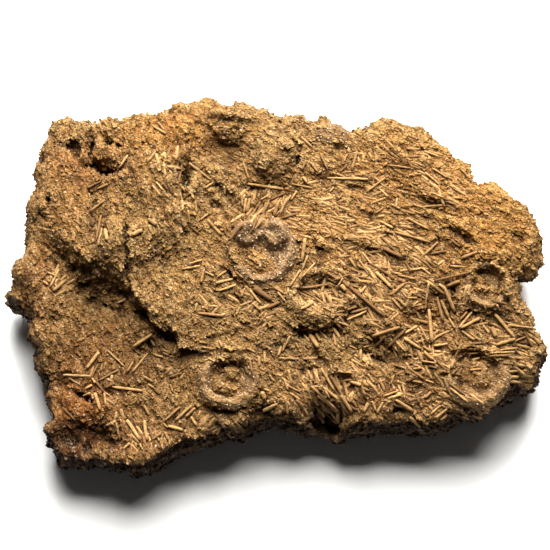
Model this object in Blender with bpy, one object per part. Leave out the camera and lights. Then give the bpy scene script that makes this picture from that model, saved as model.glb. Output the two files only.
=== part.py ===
"""Fossil sea urchin slab: a block of sandy rock with seven urchin tests bedded in its upper face.

The rock lies on its flat base, +Z up. Its plan is drawn on a grid as it is sighted from a point high above
the base and a little towards -Y: u runs to the right, v runs down, and one unit is GRID metres on the level
DRAW_Z. plan() carries a drawn point to the world at any height. The origin is at the middle of the base.
"""

import math

import bmesh
import bpy
from mathutils import Matrix, Vector, noise
from mathutils.geometry import delaunay_2d_cdt

# Drawing grid
MM = 0.001
GRID = 0.0004
DRAW_Z = 0.036
SIGHT_TILT = math.radians(11.0)
SIGHT_DISTANCE = 0.825
DRAWING_MIDDLE = (275.0, 275.0)
DRAWING_CENTRE = Vector((0.00015, 0.00245, DRAW_Z))

# The rock
WALL_STEP = 0.0045
TOP_STEP = 0.0041
FAR_BROW_Z = 0.031
NEAR_BROW_Z = 0.013
NEAR_TURN = 1.4
NEAR_RIM_INSET = 0.0042
FAR_RIM_INSET = 0.0012
LOWEST_RIM = 0.002
NEAR_FOOT_INSET = 0.0015
FAR_FOOT_INSET = 0.0065
BASE_INSET = 0.0055
FOOT_Z = 0.0045
FOOT_ROUNDS, BASE_ROUNDS, RIM_ROUNDS = 4, 10, 1
WALL_ROUGHNESS, WALL_LUMPS = 0.0016, 0.02
RIM_DROP = 0.0045
RIM_REACH = 0.009
PLATEAU_Z = 0.033
ROUGHNESS, TOP_LUMPS = 0.0011, 0.011
ROW_SHARE = math.sqrt(0.75)
EDGE_CLEARANCE = 0.55
POCKET_GAP = 0.0003
MERGE_GAP = 1e-7

# The silhouette of the rock on the drawing grid, clockwise from the upper left corner
OUTLINE = (
    (50, 130), (60, 125), (68, 122), (81, 126), (91, 129), (104, 126), (120, 124.5), (128, 121.5),
    (140, 122.5), (149, 119.5), (160, 118), (170, 115), (184, 110.5), (195, 106.5), (208, 101),
    (216, 105), (225, 109.5), (238, 104.5), (250, 106), (262, 109), (270, 114), (280, 118), (295, 116),
    (303, 116), (310, 122), (318, 120.5), (325, 117), (334, 123), (343, 129), (351, 132), (360, 127.5),
    (370, 125.5), (384, 119.5), (396, 122.5), (406, 126), (421, 128.5), (431, 137), (436, 146),
    (445, 147.5), (451, 156), (460, 160), (470, 165.5), (472, 179), (478, 184), (490, 181), (498, 184),
    (507, 193), (521, 202), (529, 209), (537, 228), (541.5, 243), (541, 261), (537, 269), (528, 276.5),
    (519, 281), (519, 295), (527, 307), (533, 321), (533, 329), (541, 340), (545, 356), (540, 368),
    (536, 380), (528, 393), (515, 396), (500, 407), (486, 415.5), (478, 421), (465, 422.5), (450, 430),
    (430, 436), (410, 436), (392, 433), (372, 437), (349, 437.5), (336, 443), (322, 437), (295, 434),
    (270, 427.5), (253, 432), (240, 440.5), (228, 439), (207, 448), (186, 452), (168, 463), (150, 475),
    (133, 476.5), (112, 471), (85, 468), (62, 465), (51, 451), (45.5, 431), (52, 419), (47, 396),
    (42, 376), (36, 365), (31, 340), (33, 326), (13, 311), (5, 299), (11, 287), (14, 267), (26, 254),
    (23, 231), (23.5, 209), (35.5, 190), (37, 165), (40, 155), (48, 140),
)

# Broad relief of the upper face: (u, v, half width, half height, turn in degrees, rise in mm, steepness of
# its edge)
SWELLS = (
    (290, 225, 330, 130, 0, 6.0, 0.8),
    (116, 172, 84, 92, 0, 5.6, 2.0),
    (152, 172, 34, 32, 0, 2.0, 1.6),
    (110, 157, 13, 10, 0, 1.8, 2.0),
    (103, 214, 10, 34, 8, -2.6, 1.4),
    (164, 205, 18, 62, -14, 2.2, 1.4),
    (66, 185, 20, 22, 0, 1.2, 1.6),
    (168, 128, 44, 20, -14, 2.4, 1.2),
    (112, 243, 13, 18, 0, 2.6, 1.8),
    (144, 246, 13, 20, 10, 2.4, 1.8),
    (110, 385, 90, 60, 0, -3.6, 0.9),
    (75, 452, 44, 30, -10, -5.5, 1.6),
    (36, 208, 12, 13, 0, 3.0, 2.0),
    (12, 300, 22, 22, 0, -6.0, 1.0),
    (224, 156, 22, 14, 0, -3.2, 1.3),
    (272, 156, 34, 27, 0, 1.8, 1.8),
    (318, 297, 33, 26, 0, 3.2, 2.6),
    (318, 293, 21, 15, 0, -4.2, 2.2),
    (435, 185, 40, 20, 25, 2.4, 1.4),
    (500, 228, 44, 42, 0, 3.6, 1.6),
    (486, 282, 34, 34, 0, 1.4, 1.6),
    (478, 372, 42, 36, 15, 1.4, 1.6),
    (229, 378, 38, 34, 0, 1.6, 1.8),
    (341, 387, 24, 21, 0, 2.4, 2.2),
    (341, 385, 15, 12, 0, -3.0, 2.2),
    (396, 145, 40, 24, 20, 2.0, 1.2),
    (380, 352, 24, 10, 15, -2.6, 1.4),
    (325, 420, 26, 20, 0, -5.5, 1.6),
    (262, 415, 14, 12, 0, -3.5, 1.6),
    (433, 322, 24, 26, 0, -2.0, 1.2),
    (530, 368, 18, 36, 0, -4.0, 1.4),
    (520, 395, 26, 22, 0, -5.0, 1.0),
    (530, 240, 26, 60, 0, -3.0, 1.0),
)

# The step that runs along the lower side of the high block, left to right: (u, v, fall in mm)
SCARP = (
    (36, 238, 0.0), (50, 247, 2.4), (64, 260, 5.0), (78, 276, 8.0), (92, 285, 9.5), (106, 290, 9.5),
    (120, 292, 9.5), (132, 299, 8.5), (142, 311, 7.0), (150, 319, 6.0), (160, 329, 6.0), (182, 346, 5.0),
    (203, 352, 2.0), (216, 352, 0.0),
)
SCARP_WIDTH = 9.0
SCARP_REACH = 95.0

# Where the right side is notched and the near wall stands upright: (u, v, half width, half height, turn)
NOTCH = (536, 284, 26, 34, 0)
NOTCH_EDGE = 3.0

# Urchin tests: (name, u, v, half width, half height, turn, height, lift of the middle plane, dish), in grid
# units and millimetres. A dish is how far the broken crown is sunk.
TESTS = (
    ("test_centre", 262, 250, 36, 36, 0, 13.0, -0.6, 4.0),
    ("test_top_left", 230, 126, 25, 18, 12, 12.0, -0.5, 0.0),
    ("test_top_middle", 273, 155, 24, 23, 0, 13.0, -0.8, 0.0),
    ("test_top_right", 332, 136, 19, 14, 10, 11.0, -0.6, 0.0),
    ("test_lower_left", 229, 380, 32, 29, 0, 12.5, -1.0, 6.5),
    ("test_lower_right", 478, 375, 33, 33, 0, 13.0, -1.0, 6.0),
    ("test_right", 487, 285, 24, 26, 0, 12.5, -0.8, 6.5),
)
TEST_SIDES = 20
TEST_RINGS = 8
TEST_SUNK = 0.12
SIDE_POWER = 0.8
LOBES, LOBE_RISE = 5, 0.018
DISH_SHARE, DISH_WALL = 0.68, 0.34

ROCK_COLOUR = (0.30, 0.16, 0.058, 1.0)
TEST_COLOUR = (0.36, 0.23, 0.12, 1.0)
ROUGH = 0.9


def clear_scene():
    for item in list(bpy.data.objects):
        bpy.data.objects.remove(item, do_unlink=True)


def material(name, colour):
    made = bpy.data.materials.new(name)
    made.use_nodes = True
    shader = made.node_tree.nodes["Principled BSDF"]
    shader.inputs["Base Color"].default_value = colour
    shader.inputs["Roughness"].default_value = ROUGH
    shader.inputs["Metallic"].default_value = 0.0
    return made


def plan(u, v, z):
    """The world point at height z that is sighted at the drawn point (u, v)."""
    across = Vector((1, 0, 0))
    up = Vector((0, math.cos(SIGHT_TILT), math.sin(SIGHT_TILT)))
    back = Vector((0, -math.sin(SIGHT_TILT), math.cos(SIGHT_TILT)))
    eye = DRAWING_CENTRE + back * SIGHT_DISTANCE
    right, top = (u - DRAWING_MIDDLE[0]) * GRID, (DRAWING_MIDDLE[1] - v) * GRID
    ray = across * right + up * top - back * SIGHT_DISTANCE
    return eye + ray * ((z - eye.z) / ray.z)


def drawn(point):
    """The drawn point (u, v) at which a world point is sighted."""
    up = Vector((0, math.cos(SIGHT_TILT), math.sin(SIGHT_TILT)))
    back = Vector((0, -math.sin(SIGHT_TILT), math.cos(SIGHT_TILT)))
    offset = point - DRAWING_CENTRE
    scale = SIGHT_DISTANCE / (SIGHT_DISTANCE - offset.dot(back)) / GRID
    return DRAWING_MIDDLE[0] + offset.x * scale, DRAWING_MIDDLE[1] - offset.dot(up) * scale


def smooth(t):
    t = max(0.0, min(1.0, t))
    return t * t * (3.0 - 2.0 * t)


def resampled(points, step):
    """The closed line through the points, as points about a step apart."""
    corners = [Vector(p[:2]) for p in points] + [Vector(points[0][:2])]
    lengths = [(b - a).length for a, b in zip(corners, corners[1:])]
    total = sum(lengths)
    count = round(total / step)
    result, index, covered = [], 0, 0.0
    for k in range(count):
        wanted = total * k / count
        while covered + lengths[index] < wanted:
            covered += lengths[index]
            index += 1
        result.append(corners[index].lerp(corners[index + 1], (wanted - covered) / lengths[index]))
    return result


def outward(ring, k):
    """The outward direction of a clockwise ring at its point k."""
    along = (ring[(k + 2) % len(ring)] - ring[k - 2]).normalized()
    return Vector((-along.y, along.x))


def within(u, v, feature):
    """How far a drawn point lies inside a feature's ellipse: 1 at its middle, 0 on its line."""
    cu, cv, half_u, half_v, turn = feature[:5]
    angle = math.radians(turn)
    du, dv = u - cu, v - cv
    along = (du * math.cos(angle) + dv * math.sin(angle)) / half_u
    across = (dv * math.cos(angle) - du * math.sin(angle)) / half_v
    return 1.0 - math.hypot(along, across)


def swell(u, v, feature):
    rise, steepness = feature[5:]
    return MM * rise * smooth(within(u, v, feature) * steepness + 0.5)


def scarp_at(u):
    """Where the scarp runs at a drawn u, and its fall there in millimetres."""
    for (u0, v0, fall0), (u1, v1, fall1) in zip(SCARP, SCARP[1:]):
        if u < u1:
            t = max(0.0, (u - u0) / (u1 - u0))
            return v0 + (v1 - v0) * t, fall0 + (fall1 - fall0) * t
    return SCARP[-1][1:]


def upper_face(u, v):
    """Height of the upper face at a drawn point, without its rim and its roughness."""
    height = PLATEAU_Z + sum(swell(u, v, feature) for feature in SWELLS)
    line, fall = scarp_at(u)
    below = v - line
    felt = 1.0 - smooth(abs(below) / SCARP_REACH)
    return height + MM * fall * felt * (0.5 - smooth(below / SCARP_WIDTH + 0.5))


def wobble(x, y, z, size):
    """Even roughness between -1 and 1 with lumps of about the given size."""
    return noise.fractal(Vector((x, y, z)) / size, 1.0, 2.0, 3) / 1.2


def smoothed(ring, rounds):
    """The ring with its small teeth rounded off."""
    for _ in range(rounds):
        ring = [(ring[k - 1] + ring[k] * 2.0 + ring[(k + 1) % len(ring)]) / 4.0 for k in range(len(ring))]
    return ring


def inset(ring, distances):
    """The ring's points moved inwards by their distances."""
    return [point - outward(ring, k) * distances[k] for k, point in enumerate(ring)]


def brow_height(facing, at):
    """Height at which the wall stands out furthest, and how near a wall it is, from the way that it faces."""
    near = smooth(0.5 - facing.y * NEAR_TURN) * (1.0 - smooth(within(*at, NOTCH) * NOTCH_EDGE + 0.5))
    return FAR_BROW_Z + (NEAR_BROW_Z - FAR_BROW_Z) * near, near


def wall_rings():
    """The rock's rings from the base up to the rim, each a list of world points."""
    sheet = resampled([plan(u, v, DRAW_Z).xy for u, v in OUTLINE], WALL_STEP)
    drawing = [drawn(Vector((*point, DRAW_Z))) for point in sheet]
    heights, nearness = zip(*(brow_height(outward(sheet, k), at) for k, at in enumerate(drawing)))
    brow = [plan(*at, height) for at, height in zip(drawing, heights)]
    rough = [WALL_ROUGHNESS * wobble(p.x, p.y, 0.0, WALL_LUMPS) for p in brow]
    foot_insets = [FAR_FOOT_INSET + (NEAR_FOOT_INSET - FAR_FOOT_INSET) * near for near in nearness]
    foot_insets = [depth + r for depth, r in zip(foot_insets, rough)]
    foot = inset(smoothed([p.xy for p in brow], FOOT_ROUNDS), foot_insets)
    base = inset(smoothed(foot, BASE_ROUNDS), [BASE_INSET - r for r in rough])
    rim_insets = [FAR_RIM_INSET + (NEAR_RIM_INSET - FAR_RIM_INSET) * near for near in nearness]
    rim = []
    for point, height in zip(smoothed(inset([p.xy for p in brow], rim_insets), RIM_ROUNDS), heights):
        level = upper_face(*drawn(Vector((*point, PLATEAU_Z)))) - RIM_DROP
        rim.append(Vector((*point, max(level, height + LOWEST_RIM))))
    return [
        [Vector((*p, 0.0)) for p in base],
        [Vector((*p, FOOT_Z)) for p in foot],
        brow,
        rim,
    ]


def spread_points(ring):
    """Points of a hexagonal grid inside a ring and clear of its edge."""
    lows = [min(p[i] for p in ring) for i in (0, 1)]
    highs = [max(p[i] for p in ring) for i in (0, 1)]
    rows = int((highs[1] - lows[1]) / (TOP_STEP * ROW_SHARE))
    columns = int((highs[0] - lows[0]) / TOP_STEP) + 1
    points = []
    for row in range(rows + 1):
        for column in range(columns + 1):
            x, y = lows[0] + (column + 0.5 * (row % 2)) * TOP_STEP, lows[1] + row * TOP_STEP * ROW_SHARE
            point = Vector((x, y))
            if edge_distance(point, ring) > EDGE_CLEARANCE * TOP_STEP:
                points.append(point)
    return points


def edge_distance(point, ring):
    """Distance of a point from a ring's line, negative outside it."""
    nearest, inside = 1.0, False
    for a, b in zip(ring, ring[1:] + ring[:1]):
        line = b - a
        t = max(0.0, min(1.0, (point - a).dot(line) / line.length_squared))
        nearest = min(nearest, (point - a - line * t).length)
        if (a.y > point.y) != (b.y > point.y) and point.x < a.x + (point.y - a.y) * line.x / line.y:
            inside = not inside
    return nearest if inside else -nearest


def top_height(point, inset):
    """Height of the upper face at a world point that lies the given distance inside the rim."""
    u, v = drawn(Vector((point.x, point.y, PLATEAU_Z)))
    edge = RIM_DROP * (1.0 - min(1.0, inset / RIM_REACH)) ** 2
    return upper_face(u, v) - edge + ROUGHNESS * wobble(point.x, point.y, PLATEAU_Z, TOP_LUMPS)


def matrix_mesh():
    """The closed skin of the rock: base, walls and upper face."""
    rings = wall_rings()
    mesh = bmesh.new()
    made = [[mesh.verts.new(p) for p in ring] for ring in rings]
    count = len(rings[0])
    for lower, upper in zip(made, made[1:]):
        for k in range(count):
            j = (k + 1) % count
            mesh.faces.new((lower[k], upper[k], upper[j], lower[j]))
    mesh.faces.new(made[0])
    rim = [p.xy for p in rings[-1]]
    inner = spread_points(rim)
    edges = [(k, (k + 1) % count) for k in range(count)]
    points, _, faces, *_ = delaunay_2d_cdt(rim + inner, edges, [], 1, MERGE_GAP)
    heights = [top_height(p, edge_distance(p, rim)) for p in points[count:]]
    top = made[-1] + [mesh.verts.new((p.x, p.y, height)) for p, height in zip(points[count:], heights)]
    for face in faces:
        mesh.faces.new([top[i] for i in face])
    bmesh.ops.triangulate(mesh, faces=mesh.faces)
    bmesh.ops.recalc_face_normals(mesh, faces=mesh.faces)
    return mesh


def test_outline(share, height, dish):
    """Radius, as a share, and level of a test's side at a share of its way from the base up to the crown."""
    angle = math.pi * (share - 0.5)
    radius = math.cos(angle) ** SIDE_POWER if abs(share - 0.5) < 0.5 else 0.0
    level = 0.5 * height * math.sin(angle)
    if dish and share > 0.5:
        level -= dish * smooth((DISH_SHARE - radius) / DISH_WALL + 0.5)
    return radius, level


def test_mesh(test, grow, dished=True):
    """A test as a closed skin: an oblate body with five low lobes, grown outwards by the given amount."""
    _, u, v, half_u, half_v, turn, height, lift, dish = test
    dish = dish if dished else 0.0
    height, dish = MM * height, MM * dish
    middle = plan(u, v, upper_face(u, v))
    middle.z += MM * lift - TEST_SUNK * height
    mesh = bmesh.new()
    rings = []
    for ring in range(1, TEST_RINGS):
        radius, level = test_outline(ring / TEST_RINGS, height + 2.0 * grow, dish)
        points = []
        for side in range(TEST_SIDES):
            angle = 2.0 * math.pi * side / TEST_SIDES
            lobe = 1.0 + LOBE_RISE * math.cos(LOBES * angle)
            x = (half_u * GRID + grow) * radius * lobe * math.cos(angle)
            y = (half_v * GRID + grow) * radius * lobe * math.sin(angle)
            spoke = Vector((x, y, level))
            spoke.rotate(Matrix.Rotation(math.radians(-turn), 3, "Z"))
            points.append(mesh.verts.new(middle + spoke))
        rings.append(points)
    for lower, upper in zip(rings, rings[1:]):
        for k in range(TEST_SIDES):
            j = (k + 1) % TEST_SIDES
            mesh.faces.new((lower[k], lower[j], upper[j], upper[k]))
    bottom = mesh.verts.new(middle - Vector((0, 0, 0.5 * height + grow)))
    crown = mesh.verts.new(middle + Vector((0, 0, test_outline(1.0, height + 2.0 * grow, dish)[1])))
    for k in range(TEST_SIDES):
        j = (k + 1) % TEST_SIDES
        mesh.faces.new((bottom, rings[0][j], rings[0][k]))
        mesh.faces.new((crown, rings[-1][k], rings[-1][j]))
    bmesh.ops.triangulate(mesh, faces=mesh.faces)
    bmesh.ops.recalc_face_normals(mesh, faces=mesh.faces)
    return mesh


def placed(name, mesh, finish):
    data = bpy.data.meshes.new(name)
    mesh.to_mesh(data)
    mesh.free()
    data.materials.append(finish)
    thing = bpy.data.objects.new(name, data)
    bpy.context.scene.collection.objects.link(thing)
    return thing


def cut_pocket(rock, test, finish):
    """Cuts the bed of a test out of the rock, a gap wider than the test and open over its dish."""
    cutter = placed("pocket_" + test[0], test_mesh(test, POCKET_GAP, dished=False), finish)
    cutter.hide_render = True
    cutter.display_type = "WIRE"
    cut = rock.modifiers.new("bed of " + test[0], "BOOLEAN")
    cut.operation = "DIFFERENCE"
    cut.solver = "EXACT"
    cut.object = cutter


def main():
    clear_scene()
    rock_finish = material("sandy_rock", ROCK_COLOUR)
    test_finish = material("urchin_test", TEST_COLOUR)
    rock = placed("matrix_slab", matrix_mesh(), rock_finish)
    for test in TESTS:
        cut_pocket(rock, test, rock_finish)
        placed(test[0], test_mesh(test, 0.0), test_finish).data.shade_smooth()


main()
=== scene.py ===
"""Looks of the fossil sea urchin slab: the rock's fine skin, its seven urchin tests, loose spines and grit.

The slab is drawn on the grid that its solids were drawn on: u runs to the right, v runs down, one unit is
GRID metres on the level DRAW_Z, and the drawing is sighted from EYE. plan() and drawn() carry points both
ways.
"""

import math

import bpy
import numpy as np
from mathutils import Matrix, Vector, noise
from mathutils.bvhtree import BVHTree


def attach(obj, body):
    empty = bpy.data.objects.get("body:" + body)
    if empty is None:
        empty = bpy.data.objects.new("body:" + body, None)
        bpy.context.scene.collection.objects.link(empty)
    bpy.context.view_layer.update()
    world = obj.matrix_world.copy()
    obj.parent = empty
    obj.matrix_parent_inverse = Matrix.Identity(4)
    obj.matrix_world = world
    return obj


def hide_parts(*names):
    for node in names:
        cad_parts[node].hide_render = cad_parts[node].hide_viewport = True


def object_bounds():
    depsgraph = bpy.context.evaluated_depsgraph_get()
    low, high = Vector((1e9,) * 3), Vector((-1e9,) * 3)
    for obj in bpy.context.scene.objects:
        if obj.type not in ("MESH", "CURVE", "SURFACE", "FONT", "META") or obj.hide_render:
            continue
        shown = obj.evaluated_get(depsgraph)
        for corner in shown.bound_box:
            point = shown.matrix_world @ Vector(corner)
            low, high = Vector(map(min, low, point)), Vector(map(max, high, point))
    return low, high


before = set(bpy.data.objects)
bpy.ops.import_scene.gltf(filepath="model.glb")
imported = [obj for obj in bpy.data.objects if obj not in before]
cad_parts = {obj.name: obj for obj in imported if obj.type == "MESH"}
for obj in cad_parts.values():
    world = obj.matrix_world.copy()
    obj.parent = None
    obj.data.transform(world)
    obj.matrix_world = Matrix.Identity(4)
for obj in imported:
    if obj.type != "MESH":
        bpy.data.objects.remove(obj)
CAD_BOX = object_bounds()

bl_info = {
    "name": "Fossil Urchin Slab",
    "version": (1, 0, 0),
    "blender": (4, 5, 0),
    "location": "View3D > Sidebar > Fossil Slab",
    "description": "Builds the fine surface, urchin tests, spines, grit and stage of a fossil urchin slab",
    "category": "Add Mesh",
}

# Drawing grid
GRID = 0.0004
DRAW_Z = 0.036
SIGHT_TILT = math.radians(11.0)
SIGHT_DISTANCE = 0.825
DRAWING_SIDE = 550.0
DRAWING_MIDDLE = np.array((275.0, 275.0))
DRAWING_CENTRE = np.array((0.00015, 0.00245, DRAW_Z))
ACROSS = np.array((1.0, 0.0, 0.0))
UP = np.array((0.0, math.cos(SIGHT_TILT), math.sin(SIGHT_TILT)))
BACK = np.array((0.0, -math.sin(SIGHT_TILT), math.cos(SIGHT_TILT)))
EYE = DRAWING_CENTRE + BACK * SIGHT_DISTANCE
SENSOR_MM = 36.0
MM = 0.001

# The silhouette of the rock on the drawing grid, clockwise from the upper left corner
OUTLINE = (
    (50, 130), (53, 125), (60, 125), (65, 123.5), (68, 122), (73, 123), (81, 126), (85, 128.5), (88, 127),
    (91, 129), (100, 128.5), (104, 126), (110, 124.5), (120, 124.5), (123, 127), (128, 121.5), (133, 123),
    (140, 122.5), (146, 121), (149, 119.5), (156, 121.5), (160, 118), (166, 117.5), (170, 115), (176, 113),
    (184, 110.5), (187, 109), (190, 109), (195, 106.5), (200, 103.5), (208, 101), (212, 102), (216, 105),
    (220, 107.5), (225, 109.5), (230, 108.5), (238, 104.5), (243, 103.5), (250, 106), (256, 108.5),
    (262, 109), (268, 110), (270, 114), (275, 115.5), (280, 118), (289, 116), (295, 116), (301, 114),
    (303, 116), (305, 120), (310, 122), (315, 123), (318, 120.5), (321, 118), (325, 117), (327, 121),
    (334, 123), (337, 127), (343, 129), (347, 132), (351, 132), (355, 129.5), (360, 127.5), (365, 127),
    (370, 125.5), (374, 123), (377, 121), (384, 119.5), (388, 119.5), (396, 122.5), (400, 124.5),
    (406, 126), (418, 127.5), (421, 128.5), (428, 135), (431, 137), (434, 141), (436, 146), (440, 145.5),
    (445, 147.5), (450, 152), (451, 156), (460, 160), (465, 163), (470, 165.5), (471, 169), (470, 174),
    (472, 179), (474, 182), (478, 184), (484, 184.5), (490, 181), (494, 182), (498, 184), (502, 190.5),
    (507, 193), (513, 199), (521, 202), (525, 204.5), (529, 209), (533, 218), (537, 228), (540, 234),
    (541.5, 243), (542, 256), (541, 261), (538, 264), (537, 269), (535, 273), (531, 276), (528, 276.5),
    (525, 275), (522, 277), (519, 281), (520.5, 286), (519, 295), (519.5, 300), (522, 303), (527, 307),
    (529, 312), (532, 318), (533, 321), (532.5, 325), (533, 329), (538, 333.5), (541, 340), (543, 345),
    (544.5, 351), (545, 356), (544.5, 360), (540, 368), (539, 372), (536, 378), (536.5, 381), (535, 386),
    (532, 390), (528, 393), (520, 396.5), (515, 396), (510, 401), (505, 404), (500, 407), (490, 413),
    (486, 415.5), (483, 420.5), (478, 421), (470, 424), (465, 422.5), (455, 427), (450, 430), (440, 434),
    (430, 436), (425, 437.5), (410, 436), (398, 434), (392, 433), (385, 434), (372, 437), (360, 435),
    (349, 437.5), (342, 442), (339, 443.5), (336, 443), (333, 440), (322, 437), (307, 435), (295, 434),
    (290, 431), (280, 429), (270, 427.5), (262, 430), (253, 432), (250, 438), (240, 440.5), (228, 439),
    (216, 443), (207, 448), (195, 451), (186, 452), (176, 458), (168, 463), (160, 469), (150, 475),
    (140, 476.5), (133, 476.5), (123, 471.5), (112, 471), (102, 468), (85, 468), (70, 467), (62, 465),
    (54, 457), (51, 451), (47, 441), (45.5, 431), (45.5, 428), (47, 425), (52, 419), (51, 409), (47, 396),
    (47, 385), (42, 376), (38, 369), (36, 365), (37, 357), (34, 346), (31, 340), (33.5, 330), (33, 326),
    (26, 318), (18, 314), (13, 311), (10, 307), (5, 300.5), (5, 298), (10, 292), (11, 287), (12.5, 275),
    (12.5, 270), (14, 267), (21, 259), (26, 254), (26, 250), (25, 243), (23, 231), (25, 221), (23.5, 213),
    (23.5, 209), (26, 201.5), (30, 198.5), (35.5, 190), (36.5, 181), (35.5, 178), (37, 165), (40, 161),
    (39.5, 155), (42, 147), (48, 140), (49, 136), (48, 133),
)

# Walls, in metres
RING_STEP = 0.0012
FAR_BROW_Z, NEAR_BROW_Z = 0.031, 0.013
FAR_RIM_INSET, NEAR_RIM_INSET = 0.0012, 0.0042
FAR_FOOT_INSET, NEAR_FOOT_INSET = 0.012, 0.007
RIM_Z = 0.034
RIM_BLEND = 0.0042
PLATEAU_Z = 0.033
GRID_MARGIN = 0.005
RING_LOOK, NEAR_TURN, UNDER_POWER = 6, 1.4, 2.4
# Where the right side is notched and the near wall stands upright: (u, v, half width, half height, turn)
NOTCH = (536, 284, 26, 34, 0)
NOTCH_EDGE = 3.0

# Broad relief of the upper face: (u, v, half width, half height, turn in degrees, rise in mm, edge)
SWELLS = (
    (290, 225, 330, 130, 0, 6.0, 0.8),
    (116, 172, 84, 92, 0, 5.6, 2.0),
    (152, 172, 34, 32, 0, 2.0, 1.6),
    (110, 157, 13, 10, 0, 1.8, 2.0),
    (92, 155, 5, 18, 6, -2.4, 1.4),
    (100, 172, 22, 7, 8, -2.2, 1.4),
    (103, 214, 10, 34, 8, -2.6, 1.4),
    (164, 205, 18, 62, -14, 2.2, 1.4),
    (66, 185, 20, 22, 0, 1.2, 1.6),
    (108, 134, 16, 6, 5, 1.4, 1.6),
    (168, 128, 44, 20, -14, 2.4, 1.2),
    (112, 243, 13, 18, 0, 2.6, 1.8),
    (144, 246, 13, 20, 10, 2.4, 1.8),
    (128, 250, 4, 22, 0, -2.4, 1.4),
    (110, 385, 90, 60, 0, -3.6, 0.9),
    (75, 452, 44, 30, -10, -5.5, 1.6),
    (36, 208, 12, 13, 0, 3.0, 2.0),
    (12, 300, 22, 22, 0, -6.0, 1.0),
    (224, 156, 22, 14, 0, -3.2, 1.3),
    (272, 156, 34, 27, 0, 1.8, 1.8),
    (186, 180, 7, 18, 8, -3.4, 1.6),
    (318, 297, 33, 26, 0, 3.2, 2.6),
    (318, 293, 21, 15, 0, -4.2, 2.2),
    (435, 185, 40, 20, 25, 2.4, 1.4),
    (500, 228, 44, 42, 0, 3.6, 1.6),
    (516, 241, 7, 6, 0, -1.6, 1.3),
    (486, 282, 34, 34, 0, 1.4, 1.6),
    (478, 372, 42, 36, 15, 1.4, 1.6),
    (229, 378, 38, 34, 0, 1.6, 1.8),
    (341, 387, 24, 21, 0, 2.4, 2.2),
    (341, 385, 15, 12, 0, -3.0, 2.2),
    (396, 145, 40, 24, 20, 2.0, 1.2),
    (318, 336, 26, 6, 0, -1.4, 1.5),
    (380, 352, 24, 10, 15, -2.6, 1.4),
    (325, 420, 26, 20, 0, -5.5, 1.6),
    (262, 415, 14, 12, 0, -3.5, 1.6),
    (400, 412, 9, 8, 0, -2.6, 1.5),
    (433, 322, 24, 26, 0, -2.0, 1.2),
    (530, 368, 18, 36, 0, -4.0, 1.4),
    (520, 395, 26, 22, 0, -5.0, 1.0),
    (530, 240, 26, 60, 0, -3.0, 1.0),
)

# The step along the lower side of the high block, left to right: (u, v, fall, overhang), both in mm. Where
# the overhang is negative the step is a slope.
SCARP = (
    (36, 238, 0.0, -3.0), (50, 247, 2.4, -5.0), (64, 260, 5.0, -8.0), (78, 276, 8.0, -9.0),
    (92, 285, 9.5, -10.0), (106, 290, 9.5, -10.0), (120, 292, 9.5, -9.0), (132, 299, 8.5, -6.0),
    (142, 311, 7.0, -2.5), (150, 319, 6.0, 0.0), (160, 329, 6.0, 1.5), (182, 346, 5.0, 1.5),
    (203, 352, 2.0, 1.0), (216, 352, 0.0, 0.0),
)
SCARP_REACH, SCARP_ROUND, LEAST_FALL = 95.0, 9.0, 0.0005

# Smaller steps, each a line of (u, v, fall in mm) from left to right with how far it is felt on either side
STEPS = (
    (24, (280, 322, 0), (290, 327, 1.8), (310, 333, 2.2), (330, 328, 2.2), (345, 321, 1.8), (354, 316, 0)),
    (16, (322, 236, 0), (340, 243, 1.6), (370, 250, 2.2), (398, 260, 1.6), (412, 266, 0)),
    (10, (212, 349, 0), (219, 351, 2.2), (234, 353, 2.6), (247, 352, 1.8), (258, 349, 0)),
    (9, (203, 338, 0), (214, 337, 1.4), (234, 332, 1.4), (248, 328, 0)),
    (18, (192, 398, 0), (206, 404, 2.6), (222, 408, 3.4), (238, 405, 3.0), (252, 398, 0)),
    (9, (419, 200, 0), (425, 202, 2.4), (435, 204, 2.8), (445, 203, 2.0), (451, 201, 0)),
    (14, (444, 224, 0), (450, 229, 3.6), (460, 235, 4.2), (468, 240, 3.0), (479, 246, 0)),
    (14, (58, 378, 0), (70, 385, 1.6), (85, 396, 2.2), (98, 404, 0)),
    (16, (345, 338, 0), (360, 347, 2.2), (380, 353, 2.8), (400, 358, 1.6), (412, 362, 0)),
    (10, (144, 372, 0), (158, 370, 1.4), (176, 363, 0)),
    (10, (128, 344, 0), (140, 343, 1.4), (152, 339, 1.6), (160, 334, 0)),
    (12, (76, 166, 0), (88, 167, 2.6), (104, 170, 3.4), (120, 176, 2.6), (132, 180, 0)),
    (10, (302, 128, 0), (318, 132, 1.8), (338, 136, 2.8), (350, 138, 0)),
    (12, (192, 166, 0), (206, 178, 1.6), (222, 190, 1.8), (240, 200, 0)),
    (10, (236, 184, 0), (246, 187, 1.6), (262, 189, 1.4), (276, 180, 0)),
    (12, (216, 266, 0), (226, 272, 1.6), (240, 283, 1.8), (256, 290, 1.2), (276, 291, 0)),
    (12, (460, 300, 0), (474, 312, 1.8), (492, 316, 2.4), (508, 312, 1.6), (516, 306, 0)),
    (12, (340, 392, 0), (350, 394, 2.0), (362, 392, 1.6), (370, 388, 0)),
    (14, (404, 196, 0), (416, 210, 1.2), (432, 222, 1.6), (446, 232, 0)),
)
STEP_ROUND = 4.0

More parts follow.
